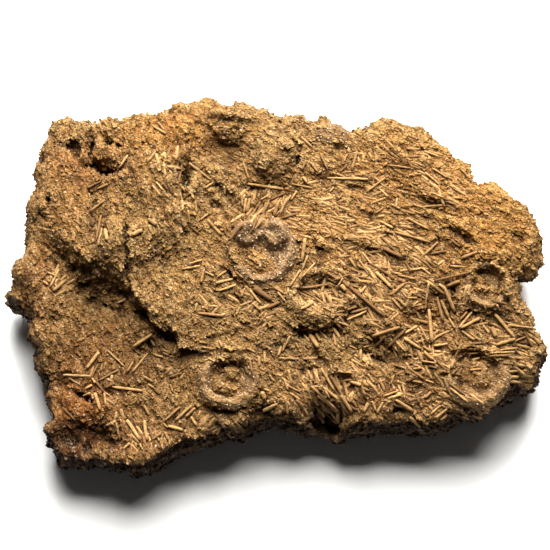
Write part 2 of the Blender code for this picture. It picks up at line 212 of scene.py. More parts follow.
# Pits and caves: (u, v, half width, half height, turn, depth in mm), drawn at the surface
HOLLOWS = (
    (72, 145, 7, 5, -12, 3.6), (77, 153, 4, 7, 18, 3.4), (109, 143, 6, 3.6, 14, 2.8),
    (119, 147, 6, 3, -6, 2.8), (92, 192, 6, 3, -15, 2.2), (91, 154, 3.0, 12, 8, 2.0),
    (94, 165, 6, 4, 20, 3.4), (106, 173, 9, 4, 10, 4.4), (121, 168, 6, 3.5, -20, 3.2),
    (127, 159, 2.5, 8, 20, 2.2), (39, 215, 7, 6, 30, 3.4), (48, 199, 2.6, 6, 0, 3.2),
    (186, 178, 5, 13, 5, 4.8), (183, 196, 4, 8, 10, 2.6), (186, 233, 4, 4, 0, 2.2),
    (216, 204, 7, 5, 0, 2.6), (98, 300, 17, 9, 18, 6.5), (127, 277, 5, 15, 0, 5.5),
    (112, 309, 12, 5, 20, 4.0), (84, 286, 8, 8, 35, 4.0), (108, 270, 8, 5, 0, 3.0),
    (138, 312, 12, 4, 15, 3.5), (168, 336, 12, 7, 35, 5.0), (54, 248, 9, 4, 15, 3.0),
    (71, 268, 8, 6, 30, 3.6), (298, 158, 2.5, 11, 8, 2.6), (342, 136, 6, 4, 10, 2.6),
    (434, 202, 10, 3, 5, 3.2), (456, 231, 9, 4.5, 25, 4.5), (470, 242, 7, 3, 30, 2.8),
    (453, 291, 5, 7, -15, 4.4), (472, 312, 6, 4, 30, 3.0), (468, 355, 17, 7, -2, 6.0),
    (323, 285, 10, 5, 0, 3.0), (305, 333, 9, 7, 0, 3.0), (336, 328, 8, 5, -30, 2.4),
    (378, 350, 9, 5, 15, 3.0), (392, 356, 9, 4, 15, 2.6), (355, 391, 9, 3.5, 5, 2.6),
    (246, 246, 7, 3, 0, 2.2), (267, 248, 6, 2.6, 0, 2.0), (247, 271, 3, 2.4, 0, 2.0),
    (231, 276, 9, 3, 45, 2.2), (213, 367, 8, 5, 20, 2.6), (70, 441, 10, 8, 30, 3.4),
    (88, 446, 5, 8, 40, 3.0), (84, 397, 11, 3, 25, 2.4), (324, 428, 19, 22, 0, 14.0),
    (285, 420, 14, 10, 0, 7.0), (262, 414, 12, 9, 0, 4.5), (426, 318, 4, 12, 0, 2.6),
    (447, 312, 4, 10, -20, 2.6), (502, 265, 4, 3, 0, 2.0), (486, 265, 7, 3, 0, 2.2),
    (354, 187, 14, 2.6, 8, 2.0), (250, 188, 12, 2.6, 5, 2.0), (527, 349, 11, 5, -20, 3.0),
    (398, 411, 6, 6, 0, 3.2), (440, 240, 6, 3, 40, 2.2), (30, 330, 6, 10, -35, 2.5),
    (55, 320, 8, 8, 0, 2.0),
)
HOLLOW_REACH, HOLLOW_SKY, HOLLOW_BLEND = 1.3, 0.012, 0.0008
HOLLOW_ROUGH, HOLLOW_LUMPS = 0.28, 0.0026

# Where the stone is calmer than elsewhere: (u, v, half width, half height, turn, share)
CALM = (
    (168, 142, 34, 20, 20, 0.5), (62, 182, 18, 22, 0, 0.45), (222, 156, 20, 14, 0, 0.6),
    (200, 300, 34, 34, 0, 0.35), (90, 340, 40, 26, 0, 0.3), (262, 264, 26, 18, 0, 0.5),
    (330, 222, 40, 14, 20, 0.3), (490, 360, 30, 26, 0, 0.4), (105, 195, 14, 24, 20, 0.35),
    (225, 245, 12, 26, 0, 0.3), (280, 330, 30, 12, 0, 0.3),
)
CALM_EDGE = 1.2

# Urchin tests: (node, u, v, half width, half height, turn, height, lift, dish, cover), in grid units and mm.
# Lift raises the middle plane, dish is how far the broken crown is sunk, and cover is the sand on it.
TESTS = (
    ("test_centre", 262, 250, 36, 36, 0, 13.0, -0.6, 4.0, -0.5),
    ("test_top_left", 230, 126, 25, 18, 12, 12.0, -0.5, 0.0, -0.4),
    ("test_top_middle", 273, 155, 24, 23, 0, 13.0, -0.8, 0.0, 0.2),
    ("test_top_right", 332, 136, 19, 14, 10, 11.0, -0.6, 0.0, -0.2),
    ("test_lower_left", 229, 380, 32, 29, 0, 12.5, -1.0, 6.5, -0.2),
    ("test_lower_right", 478, 375, 33, 33, 0, 13.0, -1.0, 6.0, 0.0),
    ("test_right", 487, 285, 24, 26, 0, 12.5, -0.8, 6.5, 0.0),
)
DISH_SHARE, DISH_WALL = 0.68, 0.34
SIDE_POWER, TEST_SUNK = 0.8, 0.12
PROFILE_POINTS = 60

# Lobes and dents of the tests' upper sides: (u, v, width, rise in mm)
LOBES = (
    (247, 234, 12, 3.8), (275, 235, 13, 4.0), (262, 242, 5, -2.0), (262, 256, 14, -0.8),
    (256, 266, 12, -1.4), (286, 262, 9, 1.0), (244, 272, 8, 0.7), (262, 280, 8, 0.6), (283, 278, 7, 0.8),
    (241, 256, 6, -1.2), (222, 128, 8, 0.8), (205, 375, 8, 0.8), (250, 380, 9, 0.9), (222, 398, 8, 0.6),
    (240, 356, 8, -0.8), (498, 380, 10, 0.8), (455, 372, 8, -0.8), (460, 356, 8, -3.0), (474, 355, 8, -3.0),
    (468, 366, 10, -1.0), (470, 398, 9, 0.8), (470, 300, 8, 0.8), (505, 292, 7, -0.6), (268, 158, 8, 0.7),
)
LOBE_EDGE, LOBES_FROM = 1.6, 0.45

# Sand on the tests: (u, v, half width, half height, turn, rise in mm)
SAND_HEAPS = (
    (252, 262, 20, 10, 15, 1.3), (262, 218, 30, 6, 0, 1.2), (262, 236, 28, 14, 0, -2.6),
    (288, 260, 12, 16, 0, -1.0), (256, 283, 30, 5, 5, -1.2), (228, 115, 28, 9, 8, 3.4),
    (273, 143, 24, 14, 0, 1.4), (332, 126, 20, 6, 0, 2.0), (228, 380, 14, 14, 0, 0.9),
    (203, 378, 6, 18, 0, -0.8), (248, 380, 8, 16, 0, -1.0), (222, 398, 20, 5, 0, -0.8),
    (478, 378, 16, 14, 0, 0.6), (498, 376, 12, 24, 10, -1.4), (478, 342, 24, 4, 0, -1.0),
    (478, 404, 22, 4, 0, -1.0), (490, 305, 22, 6, 0, -0.9), (466, 285, 5, 16, 0, -0.7),
    (243, 352, 16, 8, 15, 2.0), (256, 396, 10, 8, 0, 1.6), (232, 372, 8, 7, 30, 1.6),
    (222, 388, 9, 5, 0, 1.2), (502, 352, 14, 10, 25, 1.8), (452, 394, 14, 11, 0, 1.8),
    (484, 380, 10, 8, 0, 1.4), (468, 384, 8, 6, 0, 1.2), (502, 268, 12, 9, 0, 1.8),
    (508, 288, 7, 14, 0, 1.8), (476, 284, 9, 8, 0, 1.6), (492, 292, 10, 4, 10, 1.4),
    (292, 232, 8, 8, 0, 1.0), (228, 232, 8, 8, 0, 1.2), (230, 262, 6, 10, 0, 1.4),
    (262, 268, 10, 7, 0, 1.0),
)
HEAP_EDGE = 1.6
# The sand's own unevenness: (lump size in metres, share), and its depth in mm. Then how the sand drops and
# gives way towards a test's edge, from a share of the test's radius on.
SAND_LUMPS, SAND_DEPTH = ((0.004, 1.0), (0.0017, 0.6)), 0.9
EDGE_FALL, EDGE_FALL_FROM, EDGE_FALL_RATE = 0.002, 0.9, 5
BURIED_FROM, BURIED_OVER = 0.85, 0.12

# Where spines lie so thickly that the rock between them is hollowed: (u, v, half width, half height, turn)
NESTS = (
    (262, 203, 44, 16, 0), (300, 262, 26, 22, 0), (240, 298, 40, 14, 10), (345, 300, 34, 24, 30),
    (390, 280, 50, 30, 20), (440, 310, 40, 36, 0), (410, 235, 50, 18, 15), (400, 350, 60, 24, 10),
    (320, 385, 36, 28, 30), (430, 390, 50, 24, 10), (505, 335, 34, 18, 0), (100, 380, 50, 16, 0),
    (140, 425, 60, 22, 0), (350, 185, 40, 14, 0), (420, 165, 40, 14, 20), (285, 350, 30, 12, 0),
    (95, 230, 14, 30, 0), (150, 355, 26, 18, 0), (205, 420, 40, 12, -20),
)
NEST_EDGE = 1.5

# Texture of the stone. The left block has its own, up to BLOCK_EDGE and fading out over BLOCK_FADE.
BLOCK_EDGE, BLOCK_FADE = 170.0, 60.0
# Streaks: (direction in degrees down from the right, width, length), in grid units
FACE_GRAIN, BLOCK_GRAIN, RIDGES = (32.0, 3.2, 11.0), (72.0, 3.6, 11.0), (28.0, 8.0, 26.0)
GRAIN_DEPTH, RIDGE_DEPTH, RIDGE_WIDTH = 0.4, 0.5, 2.2
NEST_DEPTH, NEST_SHARE = 0.75, 0.6
# Shingles: (direction, width); then their depth in mm, and the drift of their edges: (share, width, length)
FACE_SHINGLES, BLOCK_SHINGLES = (25.0, 9.0), (-24.0, 11.0)
SHINGLE_DEPTH, SHINGLE_DROP = 0.9, 5.0
SHINGLE_DRIFTS = ((0.9, 16.0, 24.0), (0.35, 6.0, 12.0))
SHINGLE_PATCH = 14.0
# Lumps: (size in metres, depth in mm, more depth on the high block); and creases: (size, depth)
LUMPS = ((0.013, 0.7, 0.8), (0.0056, 0.25, 0.3), (0.0029, 0.2, 0.2), (0.0016, 0.25, 0.15))
CREASES = ((0.0046, 1.0), (0.0026, 0.6))
CREASE_WIDTH = 5.0
# Lumps larger than CALMED keep their depth on calm stone; those under FINE grow among spines and rubble
CALMED, FINE = 0.01, 0.004
NEST_LUMPS, RUBBLE_LUMPS = 0.3, 1.1
# Where the high block ends to the right and below: (edge, fade)
HIGH_RIGHT, HIGH_BELOW = (190.0, 50.0), (300.0, 60.0)
# Rubble under the great step: the fall in mm that brings it all, its reach and its right end
RUBBLE_FALL, RUBBLE_REACH, RUBBLE_END = 8.0, 20.0, 140.0
# How the roughness varies: (size of its patches, middle, spread, least, most)
ROUGH_PATCHES = (0.011, 0.75, 0.5, 0.15, 1.3)
# Dents of the underside: (size, share), and their depth
BASE_DENTS, DENT_DEPTH = ((0.02, 1.0), (0.007, 0.5)), 0.0012
LUMP_GAIN, STREAK_GAIN, STREAK_CELLS, STREAK_START = 2.6, 2.4, 700, 300.0


# ---------------------------------------------------------------- drawing grid

def plan(u, v, z):
    """World points at heights z that are sighted at the drawn points (u, v)."""
    u, v, z = (np.asarray(a, float)[..., None] for a in np.broadcast_arrays(u, v, z))
    ray = ACROSS * (u - DRAWING_MIDDLE[0]) * GRID + UP * (DRAWING_MIDDLE[1] - v) * GRID
    ray = ray - BACK * SIGHT_DISTANCE
    return EYE + ray * ((z - EYE[2]) / ray[..., 2:3])


def drawn(points):
    """Drawn points (u, v) at which world points are sighted."""
    offset = np.asarray(points, float) - DRAWING_CENTRE
    scale = SIGHT_DISTANCE / (SIGHT_DISTANCE - offset @ BACK) / GRID
    return DRAWING_MIDDLE[0] + offset @ ACROSS * scale, DRAWING_MIDDLE[1] - offset @ UP * scale


def smooth(t):
    """Goes from 0 to 1 as t does, with level ends."""
    t = np.clip(t, 0.0, 1.0)
    return t * t * (3.0 - 2.0 * t)


def blended_max(a, b, reach):
    """The larger of two fields, rounded where they meet."""
    near = np.maximum(reach - np.abs(a - b), 0.0) / reach
    return np.maximum(a, b) + near * near * reach * 0.25


# ---------------------------------------------------------------- relief

def turned(u, v, feature):
    """Where drawn points lie in a feature's own ellipse: its two axes as shares."""
    cu, cv, half_u, half_v, turn = feature[:5]
    angle = math.radians(turn)
    du, dv = u - cu, v - cv
    return ((du * math.cos(angle) + dv * math.sin(angle)) / half_u,
            (dv * math.cos(angle) - du * math.sin(angle)) / half_v)


def within(u, v, feature, edge):
    """1 inside a feature's ellipse and 0 outside it; the higher edge is, the steeper the way between them."""
    return smooth((1.0 - np.hypot(*turned(u, v, feature))) * edge + 0.5)


def line_values(u, line):
    """Where a line of (u, v, fall) points runs at each u, and its fall there."""
    line = np.array(line, float)
    return np.interp(u, line[:, 0], line[:, 1]), np.interp(u, line[:, 0], line[:, 2], 0.0, 0.0)


def upper_face(u, v):
    """Height of the upper face without the great step, and how much of its fall there is at each point."""
    height = np.full(np.shape(u), PLATEAU_Z)
    for feature in SWELLS:
        height += MM * feature[5] * within(u, v, feature, feature[6])
    for reach, *line in STEPS:
        at, fall = line_values(u, line)
        below = (v - at) / reach
        height += MM * fall * (0.5 - smooth(below * reach / STEP_ROUND + 0.5)) * (1.0 - smooth(np.abs(below)))
    at, fall = line_values(u, SCARP)
    return height, MM * fall * (1.0 - smooth(np.abs(v - at) / SCARP_REACH))


def scarp_side(u, v):
    """How far drawn points lie below the great step's line, in grid units."""
    return v - line_values(u, SCARP)[0]


def one_height(u, v):
    """Height of the upper face at one drawn point, as the solids have it."""
    u, v = np.array(float(u)), np.array(float(v))
    height, fall = upper_face(u, v)
    south = smooth(scarp_side(u, v) / SCARP_ROUND + 0.5)
    return float(height + fall * (0.5 - south))


def heaped(u, v):
    """How much higher the sand lies on the tests at drawn points, in mm."""
    total = np.zeros(np.shape(u))
    for heap in SAND_HEAPS:
        total += heap[5] * within(u, v, heap, HEAP_EDGE)
    return total


def test_profile(share, height, dish):
    """Radius and level of a test's side at a share of its way from the base up to the crown."""
    angle = math.pi * (share - 0.5)
    radius = np.cos(angle) ** SIDE_POWER
    level = 0.5 * height * np.sin(angle)
    sunk = dish * smooth((DISH_SHARE - radius) / DISH_WALL + 0.5)
    return radius, level - np.where(share > 0.5, sunk, 0.0)


def test_middle(test):
    """The middle of a test's widest ring."""
    _, u, v, _, _, _, height, lift = test[:8]
    middle = plan(u, v, one_height(u, v))
    middle[2] += MM * (lift - TEST_SUNK * height)
    return middle


def test_top(test, points):
    """Height of a test's top above given points in plan, and how far out they lie as shares of its radius."""
    _, _, _, half_u, half_v, turn, height, _, dish = test[:9]
    middle = test_middle(test)
    spin = math.radians(turn)
    dx, dy = points[..., 0] - middle[0], points[..., 1] - middle[1]
    out = np.hypot((dx * math.cos(spin) - dy * math.sin(spin)) / (half_u * GRID),
                   (dx * math.sin(spin) + dy * math.cos(spin)) / (half_v * GRID))
    share = np.linspace(0.5, 1.0, PROFILE_POINTS)
    radius, level = test_profile(share, height * MM, dish * MM)
    return middle[2] + np.interp(out, radius[::-1], level[::-1]), out


# ---------------------------------------------------------------- noise and skin

def along(values, axis):
    """Values laid out along one axis of a grid."""
    shape = [1, 1, 1]
    shape[axis] = -1
    return values.reshape(shape)


def spline_weights(t):
    """Weights of the four nearest knots of a cubic spline."""
    return ((1 - t) ** 3 / 6, (3 * t ** 3 - 6 * t ** 2 + 4) / 6,
            (-3 * t ** 3 + 3 * t ** 2 + 3 * t + 1) / 6, t ** 3 / 6)


def lumps(shape, step, size, random):
    """Smooth noise with lumps of one size on a grid, about -1 to 1."""
    field = random.uniform(-1.0, 1.0, [int(n * step / size) + 5 for n in shape]).astype(np.float32)
    for axis, n in enumerate(shape):
        at = np.arange(n) * (step / size) + random.uniform()
        low = at.astype(int)
        weights = spline_weights((at - low).astype(np.float32))
        field = sum(along(w, axis) * np.take(field, low + k, axis=axis) for k, w in enumerate(weights))
    return field * LUMP_GAIN


def sheet_lumps(shape, step, size, random):
    """Such noise over the plan only."""
    return lumps([*shape[:2], 1], step, size, random)[..., 0]


def skin_of(field, low, step):
    """Points and four-sided faces of the surface where a grid field changes sign; it is negative inside."""
    inside = field < 0.0
    count = np.zeros(np.array(field.shape) - 1, np.int8)
    for corner in np.ndindex(2, 2, 2):
        count += inside[tuple(slice(c, n - 1 + c) for c, n in zip(corner, field.shape))]
    active = (count > 0) & (count < 8)
    number = np.full(active.shape, -1, np.int32)
    number[active] = np.arange(active.sum())
    sums, hits, faces = np.zeros((active.sum(), 3)), np.zeros(active.sum()), []
    for axis in range(3):
        first = tuple(slice(0, -1) if a == axis else slice(None) for a in range(3))
        second = tuple(slice(1, None) if a == axis else slice(None) for a in range(3))
        crossing = inside[first] != inside[second]
        at = np.argwhere(crossing)
        start, end = field[first][crossing], field[second][crossing]
        place = at.astype(float)
        place[:, axis] += start / (start - end)
        around = []
        for da, db in ((0, 0), (1, 0), (1, 1), (0, 1)):
            cell = at.copy()
            cell[:, (axis + 1) % 3] -= da
            cell[:, (axis + 2) % 3] -= db
            around.append(number[tuple(cell.T)])
            for k in range(3):
                sums[:, k] += np.bincount(around[-1], place[:, k], len(hits))
            hits += np.bincount(around[-1], minlength=len(hits))
        quads = np.stack(around, axis=1)
        quads[start > 0] = quads[start > 0][:, ::-1]
        faces.append(quads)
    return low + step * sums / hits[:, None], np.concatenate(faces)


def ring_distance(points, ring, values):
    """Distance of points in plan from a closed ring, negative outside it, and the nearest edge's values."""
    nearest = np.full(points.shape[:-1], 1.0)
    inside = np.zeros(points.shape[:-1], bool)
    taken = np.zeros(points.shape[:-1] + (values.shape[1],))
    for a, b, value in zip(ring, np.roll(ring, -1, axis=0), values):
        line = b - a
        t = np.clip(((points - a) @ line) / (line @ line), 0.0, 1.0)
        gap = np.hypot(points[..., 0] - a[0] - t * line[0], points[..., 1] - a[1] - t * line[1])
        closer = gap < nearest
        nearest = np.where(closer, gap, nearest)
        taken[closer] = value
        if a[1] != b[1]:
            passes = (a[1] > points[..., 1]) != (b[1] > points[..., 1])
            inside ^= passes & (points[..., 0] < a[0] + (points[..., 1] - a[1]) * line[0] / line[1])
    return np.where(inside, nearest, -nearest), taken


def brow_ring():
    """The ring where the walls stand out furthest, with each point's height and how far it faces nearward."""
    sheet = plan(*np.array(OUTLINE).T, DRAW_Z)[:, :2]
    closed = np.vstack((sheet, sheet[:1]))
    run = np.concatenate(([0.0], np.cumsum(np.hypot(*np.diff(closed, axis=0).T))))
    at = np.linspace(0.0, run[-1], int(run[-1] / RING_STEP), endpoint=False)
    sheet = np.stack([np.interp(at, run, closed[:, k]) for k in (0, 1)], axis=1)
    ahead = np.roll(sheet, -RING_LOOK, axis=0) - np.roll(sheet, RING_LOOK, axis=0)
    facing_y = ahead[:, 0] / np.hypot(*ahead.T)
    seen = drawn(np.column_stack((sheet, np.full(len(sheet), DRAW_Z))))
    near = smooth(0.5 - facing_y * NEAR_TURN) * (1.0 - within(*seen, NOTCH, NOTCH_EDGE))
    height = FAR_BROW_Z + (NEAR_BROW_Z - FAR_BROW_Z) * near
    return plan(*seen, height)[:, :2], np.column_stack((height, near))


def window_of(axes, low, high):
    """The part of the grid between two corners, with its coordinates."""
    part = tuple(slice(*np.searchsorted(axis, (a, b))) for axis, a, b in zip(axes, low, high))
    return part, [along(axis[cut], k) for k, (axis, cut) in enumerate(zip(axes, part))]


def hollow_out(field, axes, random):
    """Sinks the pits and caves, each a rough bowl of its own, into the rock."""
    for u, v, half_u, half_v, turn, depth in HOLLOWS:
        centre = plan(u, v, one_height(u, v))
        halves = np.array((half_u * GRID, half_v * GRID, depth * MM))
        wide = HOLLOW_REACH * max(halves[:2])
        low, high = centre - (wide, wide, HOLLOW_REACH * halves[2]), centre + (wide, wide, HOLLOW_SKY)
        part, (x, y, z) = window_of(axes, low, high)
        spin = math.radians(-turn)
        x, y, z = x - centre[0], y - centre[1], z - centre[2]
        along_x = (x * math.cos(spin) + y * math.sin(spin)) / halves[0]
        along_y = (y * math.cos(spin) - x * math.sin(spin)) / halves[1]
        bowl = np.sqrt(along_x ** 2 + along_y ** 2 + (np.minimum(z, 0.0) / halves[2]) ** 2)
        rough = HOLLOW_ROUGH * lumps(bowl.shape, axes[0][1] - axes[0][0], HOLLOW_LUMPS, random)
        field[part] = blended_max(field[part], (1.0 - bowl + rough) * halves.min(), HOLLOW_BLEND)


def trench(field, axes, base, tip, radius):
    """Clears the rock from round a spine, further above it than beside it."""
    low, high = np.minimum(base, tip) - 2.0 * radius, np.maximum(base, tip) + 2.0 * radius
    part, (x, y, z) = window_of(axes, low, high + (0.0, 0.0, 4.0 * radius))
    line = tip - base
    t = np.clip(((x - base[0]) * line[0] + (y - base[1]) * line[1]) / (line[:2] @ line[:2]), 0.0, 1.0)
    rise = z - base[2] - t * line[2]
    gap = np.sqrt((x - base[0] - t * line[0]) ** 2 + (y - base[1] - t * line[1]) ** 2
                  + (rise * np.where(rise > 0.0, TRENCH_FLARE, 1.0)) ** 2)
    field[part] = blended_max(field[part], radius - gap, TRENCH_BLEND)


def with_sand(height, ground, u, v, patches):
    """The upper face's height with the sand that lies on the tests and over their edges."""
    for test in TESTS:
        top, out = test_top(test, ground)
        sand = top + MM * (test[9] + SAND_DEPTH * patches + heaped(u, v))
        sand -= EDGE_FALL * smooth((out - EDGE_FALL_FROM) * EDGE_FALL_RATE)
        edge = smooth((out - BURIED_FROM) / BURIED_OVER)
        sand += edge * (np.maximum(height, sand) - sand)
        height = np.where(out < 1.0, sand, height)
    return height


def face_field(z, u, v, height, fall):
    """How far grid points stand above the upper face, whose great step leans over below its edge."""
    side = scarp_side(u, v) * GRID
    low_face, high_face = (height - 0.5 * fall)[..., None], (height + 0.5 * fall)[..., None]
    lean = 0.5 + 0.5 * np.clip((z - low_face) / np.maximum(fall, LEAST_FALL)[..., None], -1.0, 1.0)
    overhang = MM * np.interp(u, *np.array(SCARP)[:, (0, 3)].T)
    block = np.maximum(z - high_face, side[..., None] + overhang[..., None] * (1.0 - 2.0 * lean))
    return np.minimum(z - low_face, block)


def wall_field(z, inward, brow, near):
    """How far grid points stand outside the walls, and how far in plan they lie inside the walls' foot."""
    foot = FAR_FOOT_INSET + (NEAR_FOOT_INSET - FAR_FOOT_INSET) * near
    rim = FAR_RIM_INSET + (NEAR_RIM_INSET - FAR_RIM_INSET) * near
    under = np.clip(1.0 - z / brow[..., None], 0.0, 1.0)
    over = np.clip((z - brow[..., None]) / (RIM_Z - brow[..., None]), 0.0, 1.0)
    walls = foot[..., None] * under ** UNDER_POWER + rim[..., None] * over - inward[..., None]
    return walls, inward - foot


def rock_field(step, seed):
    """The rock as a grid field, negative inside; its axes, random source and where its points are drawn."""
    low = np.array((CAD_BOX[0][0] - GRID_MARGIN, CAD_BOX[0][1] - GRID_MARGIN, -2 * step))
    high = np.array(CAD_BOX[1]) + GRID_MARGIN
    axes = [np.arange(a, b, step) for a, b in zip(low, high)]
    shape = [len(a) for a in axes]
    random = np.random.default_rng(seed)
    ground = np.stack(np.meshgrid(axes[0], axes[1], indexing="ij"), axis=-1)
    inward, wall = ring_distance(ground, *brow_ring())
    u, v = drawn(np.concatenate((ground, np.full(ground.shape[:2] + (1,), PLATEAU_Z)), axis=-1))
    height, fall = upper_face(u, v)
    patches = sum(share * sheet_lumps(shape, step, size, random) for size, share in SAND_LUMPS)
    z = along(axes[2], 2)
    face = face_field(z, u, v, with_sand(height, ground, u, v, patches), fall)
    walls, depth = wall_field(z, inward, wall[..., 0], wall[..., 1])
    return blended_max(face, walls, RIM_BLEND).astype(np.float32), axes, random, (u, v, depth)


def streaks(u, v, direction, wide, long, random):
    """Smooth noise on the drawing grid, drawn out along one direction, about -1 to 1."""
    angle = math.radians(direction)
    across = (v * math.cos(angle) - u * math.sin(angle)) / wide + STREAK_START
    onward = (u * math.cos(angle) + v * math.sin(angle)) / long + STREAK_START
    values = random.uniform(-1.0, 1.0, (STREAK_CELLS, STREAK_CELLS))
    total = np.zeros(np.shape(u))
    low_a, low_o = np.floor(across).astype(int), np.floor(onward).astype(int)
    for step_a, weight_a in enumerate(spline_weights(across - low_a)):
        for step_o, weight_o in enumerate(spline_weights(onward - low_o)):
            knots = values[(low_a + step_a) % STREAK_CELLS, (low_o + step_o) % STREAK_CELLS]
            total += weight_a * weight_o * knots
    return total * STREAK_GAIN


def shingles(u, v, direction, width, random):
    """A relief of small broken steps, 0 to 1, each of which rises slowly down the drawing and then drops."""
    angle = math.radians(direction)
    phase = (v * math.cos(angle) - u * math.sin(angle)) / width
    for share, wide, long in SHINGLE_DRIFTS:
        phase = phase + share * streaks(u, v, direction, wide, long, random)
    rise = phase - np.floor(phase)
    kept = smooth(0.6 + 0.7 * streaks(u, v, direction, SHINGLE_PATCH, SHINGLE_PATCH, random))
    return np.minimum(rise, (1.0 - rise) * SHINGLE_DROP) * kept


def left_block(u):
    """Share of the left block's texture at drawn points."""
    return 1.0 - smooth((u - BLOCK_EDGE) / BLOCK_FADE)


def texture(u, v, nest, rough, random):
    """The drawn-out relief of the rock's skin in mm: grain, ridges and shingles."""
    left = left_block(u)
    grain = (1.0 - left) * streaks(u, v, *FACE_GRAIN, random) + left * streaks(u, v, *BLOCK_GRAIN, random)
    ridge = 1.0 - RIDGE_WIDTH * np.abs(streaks(u, v, *RIDGES, random))
    relief = GRAIN_DEPTH * grain * rough + RIDGE_DEPTH * np.maximum(ridge, 0.0) * rough
    relief += NEST_DEPTH * nest * (1.0 + NEST_SHARE * grain)
    shingle = (1.0 - left) * shingles(u, v, *FACE_SHINGLES, random)
    shingle = shingle + left * shingles(u, v, *BLOCK_SHINGLES, random)
    return relief - SHINGLE_DEPTH * shingle * rough * (1.0 - NEST_SHARE * nest)


def roughened(field, axes, random, u, v):
    """Breaks the rock's surface up with streaks and lumps of falling size, coarser on the high block."""
    step, shape = axes[0][1] - axes[0][0], field.shape
    coarse = 1.0 - smooth((u - HIGH_RIGHT[0]) / HIGH_RIGHT[1])
    coarse = coarse * (1.0 - smooth((v - HIGH_BELOW[0]) / HIGH_BELOW[1]))
    nest = nested(u, v)
    at, fall = line_values(u, SCARP)
    rubble = smooth(fall / RUBBLE_FALL) * smooth(1.6 - np.abs(v - at) / RUBBLE_REACH) * (u < RUBBLE_END)
    calm = sum(share * within(u, v, area, CALM_EDGE) for *area, share in CALM)
    size, middle, spread, least, most = ROUGH_PATCHES
    rough = np.clip(middle + spread * sheet_lumps(shape, step, size, random) - calm, least, most)
    relief = texture(u, v, nest, rough, random)
    field += (MM * relief[..., None]).astype(np.float32)
    for size, depth, extra in LUMPS:
        share = (depth + extra * coarse) * (rough if size < CALMED else 1.0)
        share = share + (NEST_LUMPS * nest + RUBBLE_LUMPS * rubble) * (size < FINE)
        field += lumps(shape, step, size, random) * (MM * share[..., None]).astype(np.float32)
    for size, depth in CREASES:
        crease = 1.0 - np.abs(lumps(shape, step, size, random)) * CREASE_WIDTH
        share = depth * (0.5 + 0.5 * coarse + 0.5 * nest) * rough
        field += np.maximum(crease, 0.0) * (MM * share[..., None]).astype(np.float32)
    dents = sum(share * sheet_lumps(shape, step, size, random) for size, share in BASE_DENTS)
    return np.maximum(field, np.maximum(dents, 0.0)[..., None] * DENT_DEPTH - along(axes[2], 2))


def nested(u, v):
    """How thickly spines lie over drawn points, 0 to 1."""
    share = np.zeros(np.shape(u))
    for swarm in NESTS:
        share = np.maximum(share, within(u, v, swarm, NEST_EDGE))
    return share


def packed_share(field, axes, reach):
    """How much of the room round each grid point is rock: over a half in hollows, under a half on ridges."""
    share = (field < 0.0).astype(np.float32)
    cells = max(1, round(reach / (axes[0][1] - axes[0][0])))
    for axis in range(3):
        run = np.cumsum(share, axis=axis, dtype=np.float32)
        n = share.shape[axis]
        top = np.take(run, np.minimum(np.arange(n) + cells, n - 1), axis=axis)
        bottom = np.take(run, np.maximum(np.arange(n) - cells - 1, 0), axis=axis)
        share = (top - bottom) / (2 * cells + 1)
    return share


def mesh_object(name, points, faces, finish):
    """A mesh in the scene, of one material."""
    data = bpy.data.meshes.new(name)
    data.from_pydata(points.tolist(), [], faces.tolist())
    data.materials.append(finish)
    thing = bpy.data.objects.new(name, data)
    bpy.context.scene.collection.objects.link(thing)
    return thing


def float_attribute(data, name, values):
    """Stores one number for each point of a mesh."""
    data.attributes.new(name, "FLOAT", "POINT").data.foreach_set("value", np.asarray(values, np.float32))


def applied(thing):
    """Swaps an object's mesh for its evaluated one and drops its modifiers."""
    done = bpy.data.meshes.new_from_object(thing.evaluated_get(bpy.context.evaluated_depsgraph_get()))
    old = thing.data
    thing.modifiers.clear()
    thing.data = done
    done.name = thing.name
    bpy.data.meshes.remove(old)
    return thing


# ---------------------------------------------------------------- materials

class Socket:
    """A node's output with Python's operators, so that shader maths reads as an expression."""

    def __init__(self, tree, output):
        self.tree, self.output = tree, output

    def maths(self, operation, *others, swapped=False):
        """The result of a maths node, of which this output is the first value, or the last where swapped."""
        values = [self, *others]
        if swapped:
            values.reverse()
        return self.tree.node("ShaderNodeMath", {"operation": operation}, dict(enumerate(values)))

    def __add__(self, other):
        return self.maths("ADD", other)

    def __sub__(self, other):
        return self.maths("SUBTRACT", other)

    def __rsub__(self, other):
        return self.maths("SUBTRACT", other, swapped=True)

    def __mul__(self, other):
        return self.maths("MULTIPLY", other)

    def __pow__(self, other):
        return self.maths("POWER", other)

    def above(self, low, high):
        """0 below low, 1 above high, straight between."""
        limits = {"Value": self, "From Min": low, "From Max": high}
        return self.tree.node("ShaderNodeMapRange", {"clamp": True}, limits)

    __radd__, __rmul__ = __add__, __mul__


